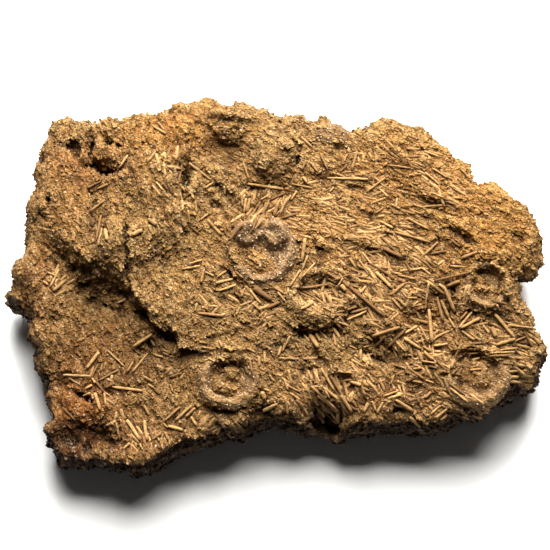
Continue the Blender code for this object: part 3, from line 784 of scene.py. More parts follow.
class Tree:
    """A node tree that is filled by one method."""

    def __init__(self, tree):
        self.tree = tree

    def node(self, kind, settings=None, inputs=None, output=0):
        """Makes a node, sets its properties, feeds its inputs and returns one of its outputs."""
        made = self.tree.nodes.new(kind)
        for name, value in (settings or {}).items():
            setattr(made, name, value)
        for key, value in (inputs or {}).items():
            self.feed(made.inputs[key], value)
        return Socket(self, made.outputs[output]) if made.outputs else None

    def feed(self, socket, value):
        """Links an output to an input, or sets the input's own value."""
        if isinstance(value, Socket):
            self.tree.links.new(value.output, socket)
        else:
            socket.default_value = value

    def noise(self, place, size, detail=3.0, roughness=0.6, output="Fac"):
        """Noise whose lumps are about the given size in metres."""
        return self.node("ShaderNodeTexNoise", {"noise_dimensions": "3D"}, {
            "Vector": place, "Scale": 1.0 / size, "Detail": detail, "Roughness": roughness}, output)

    def drawn_out(self, place, direction, share):
        """Coordinates in which noise is drawn out along a direction, in degrees down from the right."""
        turned = self.node("ShaderNodeVectorRotate", {"rotation_type": "Z_AXIS"},
                           {"Vector": place, "Angle": math.radians(direction)})
        return self.node("ShaderNodeVectorMath", {"operation": "MULTIPLY"}, {0: turned, 1: (share, 1.0, 1.0)})

    def bits(self, place, size, output, feature="F1"):
        """Bits of about the given size: each bit's own value, or the distance from its edge."""
        where = {"Vector": place, "Scale": 1.0 / size}
        return self.node("ShaderNodeTexVoronoi", {"feature": feature}, where, output)

    def mix(self, share, first, second, blend="MIX"):
        """A mix of two colours."""
        return self.node("ShaderNodeMix", {"data_type": "RGBA", "blend_type": blend},
                         {0: share, 6: first, 7: second}, output=2)

    def attribute(self, name, output="Fac"):
        """A number, or a colour, that the mesh carries."""
        return self.node("ShaderNodeAttribute", {"attribute_name": name}, {}, output)


def colour(code):
    """A linear colour from its usual six-figure code."""
    parts = [int(code[k:k + 2], 16) / 255.0 for k in (0, 2, 4)]
    return tuple(p / 12.92 if p <= 0.04045 else ((p + 0.055) / 1.055) ** 2.4 for p in parts) + (1.0,)


def start_material(name):
    """A material without nodes, its Tree, and its Object coordinates."""
    made = bpy.data.materials.new(name)
    made.use_nodes = True
    made.node_tree.nodes.clear()
    tree = Tree(made.node_tree)
    place = tree.node("ShaderNodeTexCoord", output="Object")
    return made, tree, place


def finish_material(tree, base, roughness, height, distance):
    """Ends a material: bumps of a height times a distance, and a rough shader."""
    bump = tree.node("ShaderNodeBump", {}, {"Strength": 1.0, "Distance": distance, "Height": height})
    shader = tree.node("ShaderNodeBsdfPrincipled", {}, {
        "Base Color": base, "Roughness": roughness, "Normal": bump, "Specular IOR Level": STONE_GLOSS})
    tree.node("ShaderNodeOutputMaterial", {}, {"Surface": shader})


# Sizes of the stone's markings in metres, and their colours
PATCH_SIZE, RUGGED_SIZE, BIT_SIZE, SAND_SIZE = 0.012, 0.006, 0.0013, 0.0008
RIDGE_SIZE, BLOCK_RIDGE_SIZE = 0.0017, 0.0019
RIDGE_DRAW, BLOCK_RIDGE_DRAW, BIT_DRAW, BIT_TURN = 0.35, 0.4, 0.5, 30.0
STONE_GLOSS, STONE_BUMP = 0.25, 0.0022
# Colours of the painted highlight on ridges and edges, and of the painted glints
RIDGE_HIGHLIGHT, GLINT_COLOUR = "D0AC74", "E8D2AE"
DUST_DARK, DUST_PALE = "704C24", "A07A48"


def stone_ridges(tree, place):
    """Narrow drawn-out ridges, which run their own way on the left block."""
    block = tree.attribute("steep")
    face = tree.noise(tree.drawn_out(place, FACE_GRAIN[0], RIDGE_DRAW), RIDGE_SIZE, 3.0, 0.6)
    side = tree.noise(tree.drawn_out(place, BLOCK_GRAIN[0], BLOCK_RIDGE_DRAW), BLOCK_RIDGE_SIZE, 3.0, 0.6)
    return face * (1.0 - block) + side * block


def sandstone(name, pale, deep, painted_shade, bump=1.0, speckle=1.0):
    """Gritty sandy stone: two tones in patches, painted shade in the gaps between drawn-out ridges, and fine
    grains.
    """
    made, tree, place = start_material(name)
    pale, deep, painted_shade = colour(pale), colour(deep), colour(painted_shade)
    patches = tree.noise(place, PATCH_SIZE, 4.0, 0.62).above(0.36, 0.64)
    ridges = stone_ridges(tree, place)
    grains = tree.noise(place, SAND_SIZE, 3.0, 0.65)
    rugged = tree.noise(place, RUGGED_SIZE, 2.0, 0.5).above(0.42, 0.58)
    bits = tree.drawn_out(place, BIT_TURN, BIT_DRAW)
    level = tree.bits(bits, BIT_SIZE, "Color")
    cracks = tree.bits(bits, BIT_SIZE, "Distance", "DISTANCE_TO_EDGE").above(0.0, 0.09)
    packed = tree.attribute("packed")
    # Two tones in patches and ridges, paler on ridge tops: partly own tone, partly painted light on the
    # bump's highs
    base = tree.mix(patches * 0.4 + ridges.above(0.3, 0.7) * 0.6, deep, pale)
    # Painted shade in hollows, where much of the room round a point is rock
    base = tree.mix(packed.above(0.52, 0.74) * 0.85, base, painted_shade)
    # Painted highlight on ridges and edges, where little of that room is rock
    base = tree.mix((0.5 - packed).above(0.0, 0.16) * 0.3, base, colour(RIDGE_HIGHLIGHT))
    # The stone's colour from place to place, its painted light and shade included
    base = tree.mix(tree.attribute("tinted"), base, tree.attribute("tint", "Color"), "MULTIPLY")
    # Painted shade in the cracks between bits and in the gaps between ridges and grains, where the bump is
    # low
    base = tree.mix((1.0 - cracks) * (rugged * 0.5 + 0.2) * speckle, base, painted_shade)
    base = tree.mix((1.0 - ridges.above(0.34, 0.44)) * (0.65 * speckle), base, painted_shade)
    base = tree.mix((1.0 - grains.above(0.33, 0.42)) * (0.5 * speckle), base, painted_shade)
    # Painted highlights: glints on grains on the ridges' tops
    glints = grains.above(0.54, 0.66) * ridges.above(0.45, 0.58)
    base = tree.mix(glints * (0.6 * speckle), base, colour(GLINT_COLOUR))
    dust = tree.mix(ridges.above(0.35, 0.6), colour(DUST_DARK), colour(DUST_PALE))
    base = tree.mix(tree.attribute("dusted"), base, dust)
    height = ridges * 1.5 + grains * 0.9 + (level * 0.45 + cracks * 0.25) * (rugged * 0.7 + 0.3)
    finish_material(tree, base, 0.92, height, STONE_BUMP * bump)
    return made


# ---------------------------------------------------------------- geometry nodes

# Wear of the small pieces: the size of its waves in metres, and how far it goes as a share of the least size
SPINE_WAVE, SPINE_FLATNESS = 0.0016, 0.92
GRAIN_WAVE, GRAIN_WEAR, CHIP_WAVE, CHIP_WEAR = 0.0007, 1.6, 0.0011, 0.9
# The least and greatest length, width and thickness of grains and chips, as shares of their size
GRAIN_FORMS, CHIP_FORMS = ((0.55, 0.7, 0.45), (1.2, 1.4, 0.9)), ((0.6, 0.3, 0.2), (1.0, 0.6, 0.45))


def geometry_tree(name, inputs):
    """A geometry node group with the named inputs, its Tree, and a dictionary of the input sockets."""
    group = bpy.data.node_groups.new(name, "GeometryNodeTree")
    group.interface.new_socket("Geometry", in_out="INPUT", socket_type="NodeSocketGeometry")
    for label, kind in inputs.items():
        group.interface.new_socket(label, in_out="INPUT", socket_type="NodeSocket" + kind)
    group.interface.new_socket("Geometry", in_out="OUTPUT", socket_type="NodeSocketGeometry")
    tree = Tree(group)
    start = group.nodes.new("NodeGroupInput")
    sockets = {output.name: Socket(tree, output) for output in start.outputs if output.name}
    return group, tree, sockets


def run_tree(thing, group, values):
    """Runs a group as a modifier, its inputs set by identifier, and keeps the result as a plain mesh."""
    modifier = thing.modifiers.new(group.name, "NODES")
    modifier.node_group = group
    names = {item.name: item.identifier for item in group.interface.items_tree if item.in_out == "INPUT"}
    for label, value in values.items():
        modifier[names[label]] = value
    return applied(thing)


def named(tree, name, kind="FLOAT"):
    """An attribute that the points carry."""
    return tree.node("GeometryNodeInputNamedAttribute", {"data_type": kind}, {"Name": name})


def chance(tree, seed):
    """A random number from 0 to 1 for each point."""
    return tree.node("FunctionNodeRandomValue", {"data_type": "FLOAT"}, {"Seed": seed}, 1)


def random_triple(tree, seed, least, most):
    """Three random numbers for each point."""
    return tree.node("FunctionNodeRandomValue", {"data_type": "FLOAT_VECTOR"}, {
        "Min": least, "Max": most, "Seed": seed})


def apart(tree, triple):
    """The three numbers of a vector."""
    return (tree.node("ShaderNodeSeparateXYZ", {}, {"Vector": triple}, k) for k in range(3))


def from_object(tree, thing):
    """The mesh of another object, in its own coordinates."""
    return tree.node("GeometryNodeObjectInfo", {"transform_space": "ORIGINAL"}, {"Object": thing}, "Geometry")


def copied(tree, points, shape, turn, scale):
    """Real copies of a shape on points."""
    copies = tree.node("GeometryNodeInstanceOnPoints", {}, {
        "Points": points, "Instance": shape, "Rotation": turn, "Scale": scale})
    return tree.node("GeometryNodeRealizeInstances", {}, {"Geometry": copies})


def close_tree(tree, geometry, finish, rounded=True):
    """Ends a group: instances realized, shading, material."""
    solid = tree.node("GeometryNodeRealizeInstances", {}, {"Geometry": geometry})
    worn = tree.node("GeometryNodeSetShadeSmooth", {}, {"Geometry": solid, "Shade Smooth": rounded})
    done = tree.node("GeometryNodeSetMaterial", {}, {"Geometry": worn, "Material": finish})
    end = tree.tree.nodes.new("NodeGroupOutput")
    tree.feed(end.inputs[0], done)


def shaken(tree, geometry, size, amount):
    """Moves points about by noise whose lumps have the given size, differently on each copy."""
    place = tree.node("GeometryNodeInputPosition")
    shifted = tree.node("ShaderNodeVectorMath", {"operation": "SCALE"}, {0: place, "Scale": 1.0 / size})
    tone = named(tree, "tone")
    offset = tree.node("ShaderNodeCombineXYZ", {}, {"X": tone * 50.0, "Y": tone * 31.0})
    moved = tree.node("ShaderNodeVectorMath", {"operation": "ADD"}, {0: shifted, 1: offset})
    wave = tree.node("ShaderNodeTexNoise", {}, {"Vector": moved, "Scale": 1.0, "Detail": 1.0}, "Color")
    centred = tree.node("ShaderNodeVectorMath", {"operation": "SUBTRACT"}, {0: wave, 1: (0.5, 0.5, 0.5)})
    scaled = tree.node("ShaderNodeVectorMath", {"operation": "SCALE"}, {0: centred, "Scale": amount})
    return tree.node("GeometryNodeSetPosition", {}, {"Geometry": geometry, "Offset": scaled})


def spine_group():
    """Tapered rods with broken ends on points that carry aim, length, girth and tone."""
    group, tree, given = geometry_tree("Spines on points", {
        "Sides": "Int", "Rings": "Int", "Taper": "Float", "Wear": "Float", "Finish": "Material"})
    rod = tree.node("GeometryNodeMeshCylinder", {"fill_type": "TRIANGLE_FAN"}, {
        "Vertices": given["Sides"], "Side Segments": given["Rings"], "Radius": 1.0, "Depth": 1.0})
    x, y, z = apart(tree, tree.node("GeometryNodeInputPosition"))
    ends = (z * z * 4.0).above(0.72, 1.05) * 0.3
    slim = 1.0 - (z + 0.5) * given["Taper"] - ends
    shape = tree.node("ShaderNodeCombineXYZ", {}, {"X": x * slim, "Y": y * slim, "Z": z})
    rod = tree.node("GeometryNodeSetPosition", {}, {"Geometry": rod, "Position": shape})
    aim = named(tree, "aim", "FLOAT_VECTOR")
    aim = tree.node("FunctionNodeAlignRotationToVector", {"axis": "Z"}, {"Vector": aim})
    girth = named(tree, "girth")
    scale = tree.node("ShaderNodeCombineXYZ", {}, {
        "X": girth, "Y": girth * SPINE_FLATNESS, "Z": named(tree, "length")})
    solid = copied(tree, given["Geometry"], rod, aim, scale)
    close_tree(tree, shaken(tree, solid, SPINE_WAVE, given["Wear"]), given["Finish"])
    return group


def scattered(tree, given):
    """Points strewn over the rock where it is gritty, each with a tone of its own."""
    density = given["Pieces per Square Metre"] * named(tree, "gritty")
    points = tree.node("GeometryNodeDistributePointsOnFaces", {"distribute_method": "RANDOM"}, {
        "Mesh": from_object(tree, given["Rock"]), "Density": density, "Seed": given["Seed"]}, "Points")
    return tree.node("GeometryNodeStoreNamedAttribute", {"data_type": "FLOAT", "domain": "POINT"}, {
        "Geometry": points, "Name": "tone", "Value": chance(tree, given["Seed"] + 1)})


def sized(tree, given, form):
    """A form scaled to a size between the least and the most, small ones being commoner."""
    size = given["Least"] + (given["Most"] - given["Least"]) * chance(tree, given["Seed"] + 4) ** 2.0
    return tree.node("ShaderNodeVectorMath", {"operation": "SCALE"}, {0: form, "Scale": size})


SCATTER_INPUTS = {"Rock": "Object", "Pieces per Square Metre": "Float", "Least": "Float", "Most": "Float",
                  "Seed": "Int", "Finish": "Material"}


def grain_group():
    """Angular grains scattered over a rock's faces."""
    group, tree, given = geometry_tree("Grains on rock", SCATTER_INPUTS | {"Faceting": "Int"})
    grain = tree.node("GeometryNodeMeshIcoSphere", {}, {"Radius": 1.0, "Subdivisions": given["Faceting"]})
    turn = random_triple(tree, given["Seed"] + 2, (0.0, 0.0, 0.0), (6.28, 6.28, 6.28))
    form = random_triple(tree, given["Seed"] + 3, *GRAIN_FORMS)
    solid = copied(tree, scattered(tree, given), grain, turn, sized(tree, given, form))
    close_tree(tree, shaken(tree, solid, GRAIN_WAVE, given["Least"] * GRAIN_WEAR), given["Finish"])
    return group


def chip_group():
    """Thin flat-sided chips lying on a rock's faces, drawn out the way that its texture runs."""
    group, tree, given = geometry_tree("Chips on rock", SCATTER_INPUTS | {"Tilt": "Float", "Spread": "Float"})
    x, y, z = apart(tree, random_triple(tree, given["Seed"] + 2, (-1.0, -1.0, -1.0), (1.0, 1.0, 1.0)))
    texture_turn = named(tree, "steep") * (BLOCK_GRAIN[0] - FACE_GRAIN[0]) + FACE_GRAIN[0]
    turn = tree.node("ShaderNodeCombineXYZ", {}, {
        "X": x * given["Tilt"], "Y": y * given["Tilt"],
        "Z": texture_turn * (math.pi / -180.0) + z * given["Spread"]})
    form = random_triple(tree, given["Seed"] + 3, *CHIP_FORMS)
    chip = tree.node("GeometryNodeMeshCube", {}, {"Size": (1.0, 1.0, 1.0)})
    solid = copied(tree, scattered(tree, given), chip, turn, sized(tree, given, form))
    close_tree(tree, shaken(tree, solid, CHIP_WAVE, given["Least"] * CHIP_WEAR), given["Finish"], False)
    return group


# ---------------------------------------------------------------- pieces

# How the stone's colour changes from place to place, partly its own tone and partly painted light and shade:
# it is paler towards the top and darker towards the bottom, and the dark patch on the knob at the lower left
# is painted shade. (u, v, half width, half height, colour, strength, gain)
TINTS_AND_PAINTED_LIGHT = (
    (172, 130, 50, 26, "FFE8B4", 0.8, 1.2), (500, 232, 46, 46, "FFF0CC", 0.8, 1.2),
    (80, 402, 40, 30, "E8B878", 0.7, 1.0), (70, 220, 50, 60, "F0D6A8", 0.4, 1.0),
    (262, 240, 30, 30, "F6E4D0", 0.5, 1.2), (235, 395, 30, 24, "F0DCC4", 0.3, 1.1),
    (95, 350, 70, 40, "D8B890", 0.6, 0.95), (130, 440, 70, 30, "DCB480", 0.6, 0.9),
    (66, 446, 26, 24, "6A5644", 1.0, 1.0), (440, 320, 60, 40, "E8C8A0", 0.5, 1.0),
    (400, 395, 120, 26, "D8B894", 0.6, 0.9), (90, 165, 46, 24, "E8BC90", 0.5, 1.0),
    (30, 290, 26, 40, "D8B8A0", 0.5, 1.0), (330, 225, 80, 40, "FFF0D8", 0.6, 1.2),
    (420, 165, 70, 40, "FFF0D4", 0.7, 1.35), (470, 215, 50, 40, "FFF2DC", 0.5, 1.2),
    (400, 280, 60, 40, "FFECD0", 0.5, 1.0),
)
# Painted shade on the walls' foot and on faces turned from the light: its colour, its strength behind and
# what the shade adds to it; its level, fade and waves; and where the shade is, below a v and left of a u:
# (edge, fade)
WALL_SHADE, FAR_SHADE, SHADE_TINT = "4E3820", 0.4, 0.5
WALL_SHADE_Z, WALL_SHADE_FADE, WALL_WAVE, WALL_TOP, WALL_TOP_FADE = 0.01, 0.018, 0.0022, 0.027, 0.008
SHADE_BELOW, SHADE_LEFT = (300.0, 120.0), (70.0, 50.0)
# How steep a face must be for the walls' painted shade, and how much painted shade lies among thick spines
STEEP_FROM, STEEP_FADE, NEST_SHADE = 0.62, 0.4, 0.12


def painted_wall_shade(data, u, v, z):
    """How far each point's colour goes over to the walls' painted shade: low down, and on faces turned from
    the light.
    """
    facing = np.empty(len(u) * 3, np.float32)
    data.vertices.foreach_get("normal", facing)
    facing = facing.reshape(-1, 3)
    # Steep faces turned from the key light, which stands behind the slab, take painted shade
    steep = smooth((STEEP_FROM - facing[:, 2]) / STEEP_FADE) * smooth(0.6 - facing[:, 1])
    waves = np.sin(0.061 * u + 0.023 * v) + np.sin(0.083 * v - 0.037 * u + 1.7) + np.sin(0.19 * u + 0.13 * v)
    low = 1.0 - smooth((z + WALL_WAVE * waves - WALL_SHADE_Z) / WALL_SHADE_FADE)
    wall = np.maximum(low, steep) * (1.0 - smooth((z - WALL_TOP) / WALL_TOP_FADE))
    # Most painted shade at the front and the left, where the shade falls
    below, left = (v - SHADE_BELOW[0]) / SHADE_BELOW[1], (SHADE_LEFT[0] - u) / SHADE_LEFT[1]
    return wall * (FAR_SHADE + SHADE_TINT * np.maximum(smooth(below), smooth(left)))


def add_tint_and_shade(data, u, v, z):
    """Stores the colour that each point is multiplied by: its tone and painted light and shade from place to
    place.
    """
    total = np.zeros(len(u))
    mixed = np.zeros((len(u), 4))
    for cu, cv, wide, high, code, strength, gain in TINTS_AND_PAINTED_LIGHT:
        weight = strength * np.exp(-((u - cu) / wide) ** 2 - ((v - cv) / high) ** 2)
        mixed += weight[:, None] * np.array(colour(code)) * gain
        total += weight
    mixed = mixed / np.maximum(total, 1.0)[:, None] + np.maximum(1.0 - total, 0.0)[:, None]
    # Painted shade among the spines, where they lie thickly
    mixed *= (1.0 - NEST_SHADE * nested(u, v))[:, None]
    mixed += painted_wall_shade(data, u, v, z)[:, None] * (np.array(colour(WALL_SHADE)) - mixed)
    store = data.attributes.new("tint", "FLOAT_COLOR", "POINT").data
    store.foreach_set("color", mixed.astype(np.float32).ravel())
    float_attribute(data, "tinted", np.ones(len(u)))
    float_attribute(data, "steep", left_block(u))


def sampled(field, axes, points):
    """The grid field's value at the nearest grid point."""
    index = []
    for k in range(field.ndim):
        cell = np.round((points[:, k] - axes[k][0]) / (axes[k][1] - axes[k][0])).astype(int)
        index.append(np.clip(cell, 0, len(axes[k]) - 1))
    return field[tuple(index)]


PACKED_REACH = 0.0026
BARE_FOOT, GRITTY_FROM, WALL_GRIT = 0.003, 0.02, 0.35


class RockSettings(bpy.types.PropertyGroup):
    step: bpy.props.FloatProperty(name="Grid step", description="Distance between the skin's points",
                                  default=0.0007, min=0.0004, subtype="DISTANCE", unit="LENGTH")
    triangles: bpy.props.IntProperty(name="Triangles", description="Most triangles in the rock's skin",
                                     default=190000, min=20000)
    seed: bpy.props.IntProperty(name="Seed", description="Which of many rough surfaces is made", default=7)


class SLAB_OT_rock(bpy.types.Operator):
    """Build the rock's skin with its undercut step, pits and rough walls"""

    bl_idname = "slab.rock"
    bl_label = "Rock"

    def execute(self, context):
        settings = context.scene.slab_rock
        field, axes, random, (u, v, depth) = rock_field(settings.step, settings.seed)
        field = roughened(field, axes, random, u, v)
        hollow_out(field, axes, random)
        corner = np.array([a[0] for a in axes])
        found = [(*spine, USUAL_WIDTH)[:5] for area in SPINES.values() for spine in area]
        seats = spine_points("spines", found, ground_tree(*coarse_skin(field, corner, settings.step)),
                             context.scene.slab_spines.sunk, 1.0, random)
        for base, tip, radius in seats:
            trench(field, axes, base, tip, radius + SPINE_ROOM)
        points, faces = skin_of(field, corner, settings.step)
        # The stone's pale and deep tones, and the colour of its painted shade
        rock = mesh_object("matrix", points, faces, sandstone("rock_sandstone", "AE864B", "7A5022", "2A1604"))
        thin_out(rock, settings.triangles, sampled(depth, axes, points))
        points = points_of(rock.data)
        # How packed the rock is round each point, which sets its painted shade in hollows and painted
        # highlight on ridges
        float_attribute(rock.data, "packed", sampled(packed_share(field, axes, PACKED_REACH), axes, points))
        add_tint_and_shade(rock.data, *drawn(points), points[:, 2])
        gritty = np.where(points[:, 2] < BARE_FOOT, 0.0, np.where(points[:, 2] < GRITTY_FROM, WALL_GRIT, 1.0))
        float_attribute(rock.data, "gritty", gritty)
        rock.data.shade_smooth()
        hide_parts("matrix_slab")
        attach(rock, "root")
        return {"FINISHED"}


def points_of(data):
    """A mesh's points as an array."""
    flat = np.empty(len(data.vertices) * 3, np.float32)
    data.vertices.foreach_get("co", flat)
    return flat.reshape(-1, 3).astype(float)


# How readily triangles go: anywhere, in the base, on the walls. The base lies more than BASE_INSET inside the
# walls' foot and under BASE_Z, and the walls reach up to WALLS_Z.
THIN_ALL, THIN_BASE, THIN_WALLS = 0.1, 1.0, 0.45
BASE_Z, WALLS_Z, BASE_INSET = 0.002, 0.024, 0.004


def thin_out(rock, wanted, depth):
    """Takes triangles out of the base and walls, where they show least, until the wanted number is left."""
    z = points_of(rock.data)[:, 2]
    group = rock.vertex_groups.new(name="thin")
    group.add(list(range(len(z))), THIN_ALL, "REPLACE")
    group.add(np.flatnonzero((z < BASE_Z) & (depth > BASE_INSET)).tolist(), THIN_BASE, "REPLACE")
    group.add(np.flatnonzero((z < WALLS_Z) & (depth <= BASE_INSET)).tolist(), THIN_WALLS, "REPLACE")
    total = 2 * len(rock.data.polygons)
    if total > wanted:
        thin = rock.modifiers.new("thin", "DECIMATE")
        thin.ratio = wanted / total
        thin.vertex_group = "thin"
        thin.vertex_group_factor = 1.0
        applied(rock)
        points = points_of(rock.data)
        points[:, 2] = np.maximum(points[:, 2], 0.0)
        rock.data.vertices.foreach_set("co", points.astype(np.float32).ravel())
    rock.vertex_groups.clear()


# How far each test's colour has gone over to that of the sand, and how deep in a hollow it counts as, which
# from
# 0.52 on gives it painted shade, most on the top left test
DUST_AND_SHADE = {"test_centre": (0.1, 0.5), "test_top_left": (0.3, 0.66), "test_top_middle": (0.9, 0.5),
        "test_top_right": (0.4, 0.6), "test_lower_left": (0.5, 0.5), "test_lower_right": (0.65, 0.5),
        "test_right": (0.65, 0.52)}
# A test's rings: where the lowest is, how many up to the widest one, and where the last is. Then its
# five-fold outline, and the waves of its wear in metres, of which the long ones count for more.
LOW_RING, LOW_RINGS, LAST_RING = 0.04, 7, 0.985
FIVE_FOLD = 0.018
LONG_WAVE, MIDDLE_WAVE, SHORT_WAVE, LONG_SHARE = 0.0075, 0.003, 0.0012, 1.8
# Tubercles: how many of them are left, their sizes, how far they stray along a ring, and how dusty they are
TUBERCLES_LEFT, TUBERCLE_SIZES, TUBERCLE_STRAY, TUBERCLE_DUST = 0.74, (0.55, 1.1), 0.8, 0.7


class TestSettings(bpy.types.PropertyGroup):
    sides: bpy.props.IntProperty(name="Sides", description="Points round each test", default=120, min=20)
    rings: bpy.props.IntProperty(name="Rings", description="Rings from widest line to crown", default=40)
    wear: bpy.props.FloatProperty(name="Wear", description="How far the worn surface strays", default=0.00045,
                                  subtype="DISTANCE", unit="LENGTH")
    tubercle: bpy.props.FloatProperty(name="Tubercle", description="Radius of the largest tubercles",
                                      default=0.00036, subtype="DISTANCE", unit="LENGTH")
    row_gap: bpy.props.FloatProperty(name="Row gap", description="Distance between tubercles along a row",
                                     default=0.0017, subtype="DISTANCE", unit="LENGTH")
    seed: bpy.props.IntProperty(name="Seed", description="Which tubercles are missing", default=21)


def test_shell(test, sides, rings, wear):
    """Points and faces of a test's closed shell, and each point's share of the way to the crown."""
    _, u, v, half_u, half_v, turn, height, _, dish = test[:9]
    middle, spin = test_middle(test), math.radians(-turn)
    shares = np.concatenate((np.linspace(LOW_RING, 0.5, LOW_RINGS)[:-1], np.linspace(0.5, LAST_RING, rings)))
    angles = np.linspace(0.0, 2.0 * math.pi, sides, endpoint=False)
    radius, level = test_profile(shares, height * MM, dish * MM)
    lobe = 1.0 + FIVE_FOLD * np.cos(5.0 * angles)
    x = radius[:, None] * lobe * np.cos(angles) * half_u * GRID
    y = radius[:, None] * lobe * np.sin(angles) * half_v * GRID
    z = np.repeat(level[:, None], sides, axis=1)
    x, y = x * math.cos(spin) - y * math.sin(spin), x * math.sin(spin) + y * math.cos(spin)
    points = np.stack((x, y, z), axis=-1).reshape(-1, 3)
    share = np.repeat(shares, sides)
    out = points / np.maximum(np.linalg.norm(points, axis=1), 1e-6)[:, None]
    for k, point in enumerate(points):
        at = Vector(point + middle)
        stray = LONG_SHARE * noise.noise(at / LONG_WAVE) + noise.fractal(at / MIDDLE_WAVE, 1.0, 2.0, 3)
        points[k] = point + out[k] * (wear * (stray + noise.noise(at / SHORT_WAVE)))
    seen_u, seen_v = drawn(points + middle)
    for u, v, wide, rise in LOBES:
        near = smooth((1.0 - np.hypot(seen_u - u, seen_v - v) / wide) * LOBE_EDGE + 0.5)
        points[:, 2] += MM * rise * near * (share > LOBES_FROM)
    ends = np.array(((0.0, 0.0, -0.5 * height * MM), (0.0, 0.0, points[-sides:, 2].mean())))
    points = np.vstack((points, ends)) + middle
    quads = ring_faces(len(shares), sides)
    low, top = len(points) - 2, len(points) - 1
    last = (len(shares) - 1) * sides
    caps = [(low, (k + 1) % sides, k) for k in range(sides)]
    caps += [(top, last + k, last + (k + 1) % sides) for k in range(sides)]
    return points, quads + caps, np.concatenate((share, (0.0, 1.0)))


def ring_faces(rings, sides):
    """Four-sided faces between rings of points that follow each other."""
    faces = []
    for ring in range(rings - 1):
        for k in range(sides):
            j, base = (k + 1) % sides, ring * sides
            faces.append((base + k, base + j, base + sides + j, base + sides + k))
    return faces


def tubercle_group():
    """Round tubercles on points, joined to the shell they stand on."""
    group, tree, given = geometry_tree("Tubercles on test", {
        "Shell": "Object", "Radius": "Float", "Shell Finish": "Material", "Finish": "Material"})
    ball = tree.node("GeometryNodeMeshIcoSphere", {}, {"Radius": 1.0, "Subdivisions": 2})
    copies = tree.node("GeometryNodeInstanceOnPoints", {}, {
        "Points": given["Geometry"], "Instance": ball, "Scale": named(tree, "girth") * given["Radius"]})
    balls = tree.node("GeometryNodeSetMaterial", {}, {"Geometry": copies, "Material": given["Finish"]})
    shell = tree.node("GeometryNodeSetMaterial", {}, {
        "Geometry": from_object(tree, given["Shell"]), "Material": given["Shell Finish"]})
    join = tree.node("GeometryNodeJoinGeometry", {}, {"Geometry": balls})
    tree.tree.links.new(shell.output, join.output.node.inputs[0])
    solid = tree.node("GeometryNodeRealizeInstances", {}, {"Geometry": join})
    end = tree.tree.nodes.new("NodeGroupOutput")
    tree.feed(end.inputs[0], tree.node("GeometryNodeSetShadeSmooth", {}, {"Geometry": solid}))
    return group


def tubercle_points(points, share, sides, gap, random):
    """Tubercle places in rings round a shell, fewer towards the crown, some missing, with their sizes."""
    places, sizes = [], []
    rows = np.unique(share[:-2])
    last = None
    for row in rows[rows > 0.5]:
        ring = points[:-2][share[:-2] == row]
        if last is not None and np.linalg.norm(ring[0] - last) < gap:
            continue
        last = ring[0]
        girth = np.linalg.norm(np.diff(ring, axis=0), axis=1).sum()
        count = max(5, int(girth / (gap * 1.25)))
        for k in range(count):
            stray = random.uniform(-TUBERCLE_STRAY, TUBERCLE_STRAY)
            pick = ring[int((k + 0.5 * (len(places) % 2)) / count * sides + stray) % sides]
            if random.uniform() < TUBERCLES_LEFT:
                places.append(pick)
                sizes.append(random.uniform(*TUBERCLE_SIZES))
    return np.array(places), np.array(sizes)


def point_object(name, points, **values):
    """An object of loose points with float or vector attributes."""
    data = bpy.data.meshes.new(name)
    data.from_pydata(np.asarray(points).tolist(), [], [])
    for label, numbers in values.items():
        numbers = np.asarray(numbers, np.float32)
        if numbers.ndim == 2:
            data.attributes.new(label, "FLOAT_VECTOR", "POINT").data.foreach_set("vector", numbers.ravel())
        else:
            float_attribute(data, label, numbers)
    thing = bpy.data.objects.new(name, data)
    bpy.context.scene.collection.objects.link(thing)
    return thing


class SLAB_OT_tests(bpy.types.Operator):
    """Build the seven urchin tests with their tubercles"""

    bl_idname = "slab.tests"
    bl_label = "Urchin tests"

    def execute(self, context):
        settings = context.scene.slab_tests
        random = np.random.default_rng(settings.seed)
        # Shell stone: pale and deep tones and the colour of its painted shade; then the tubercles' paler
        # stone
        finish = sandstone("test_shell", "AE8A60", "785636", "34200C", 1.0, 0.8)
        bright = sandstone("test_tubercle", "DCCAB0", "B09878", "86694A", 0.3, 0.0)
        group = tubercle_group()
        for test in TESTS:
            dust, painted_shade = DUST_AND_SHADE[test[0]]
            points, faces, share = test_shell(test, settings.sides, settings.rings, settings.wear)
            data = bpy.data.meshes.new(test[0] + "_shell")
            data.from_pydata(points.tolist(), [], faces)
            shell = bpy.data.objects.new(test[0] + "_shell", data)
            context.scene.collection.objects.link(shell)
            # The test's share of painted shade, stored as how packed it is
            float_attribute(data, "packed", np.full(len(points), painted_shade))
            float_attribute(data, "dusted", np.full(len(points), dust))
            places, sizes = tubercle_points(points, share, settings.sides, settings.row_gap, random)
            piece = point_object(test[0].replace("test", "urchin"), places, girth=sizes,
                                 dusted=np.full(len(places), TUBERCLE_DUST * dust))
            run_tree(piece, group, {"Shell": shell, "Radius": settings.tubercle, "Shell Finish": finish,
                                    "Finish": bright})
            bpy.data.objects.remove(shell, do_unlink=True)
            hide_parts(test[0])
            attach(piece, "root")
        return {"FINISHED"}


# ---------------------------------------------------------------- spines

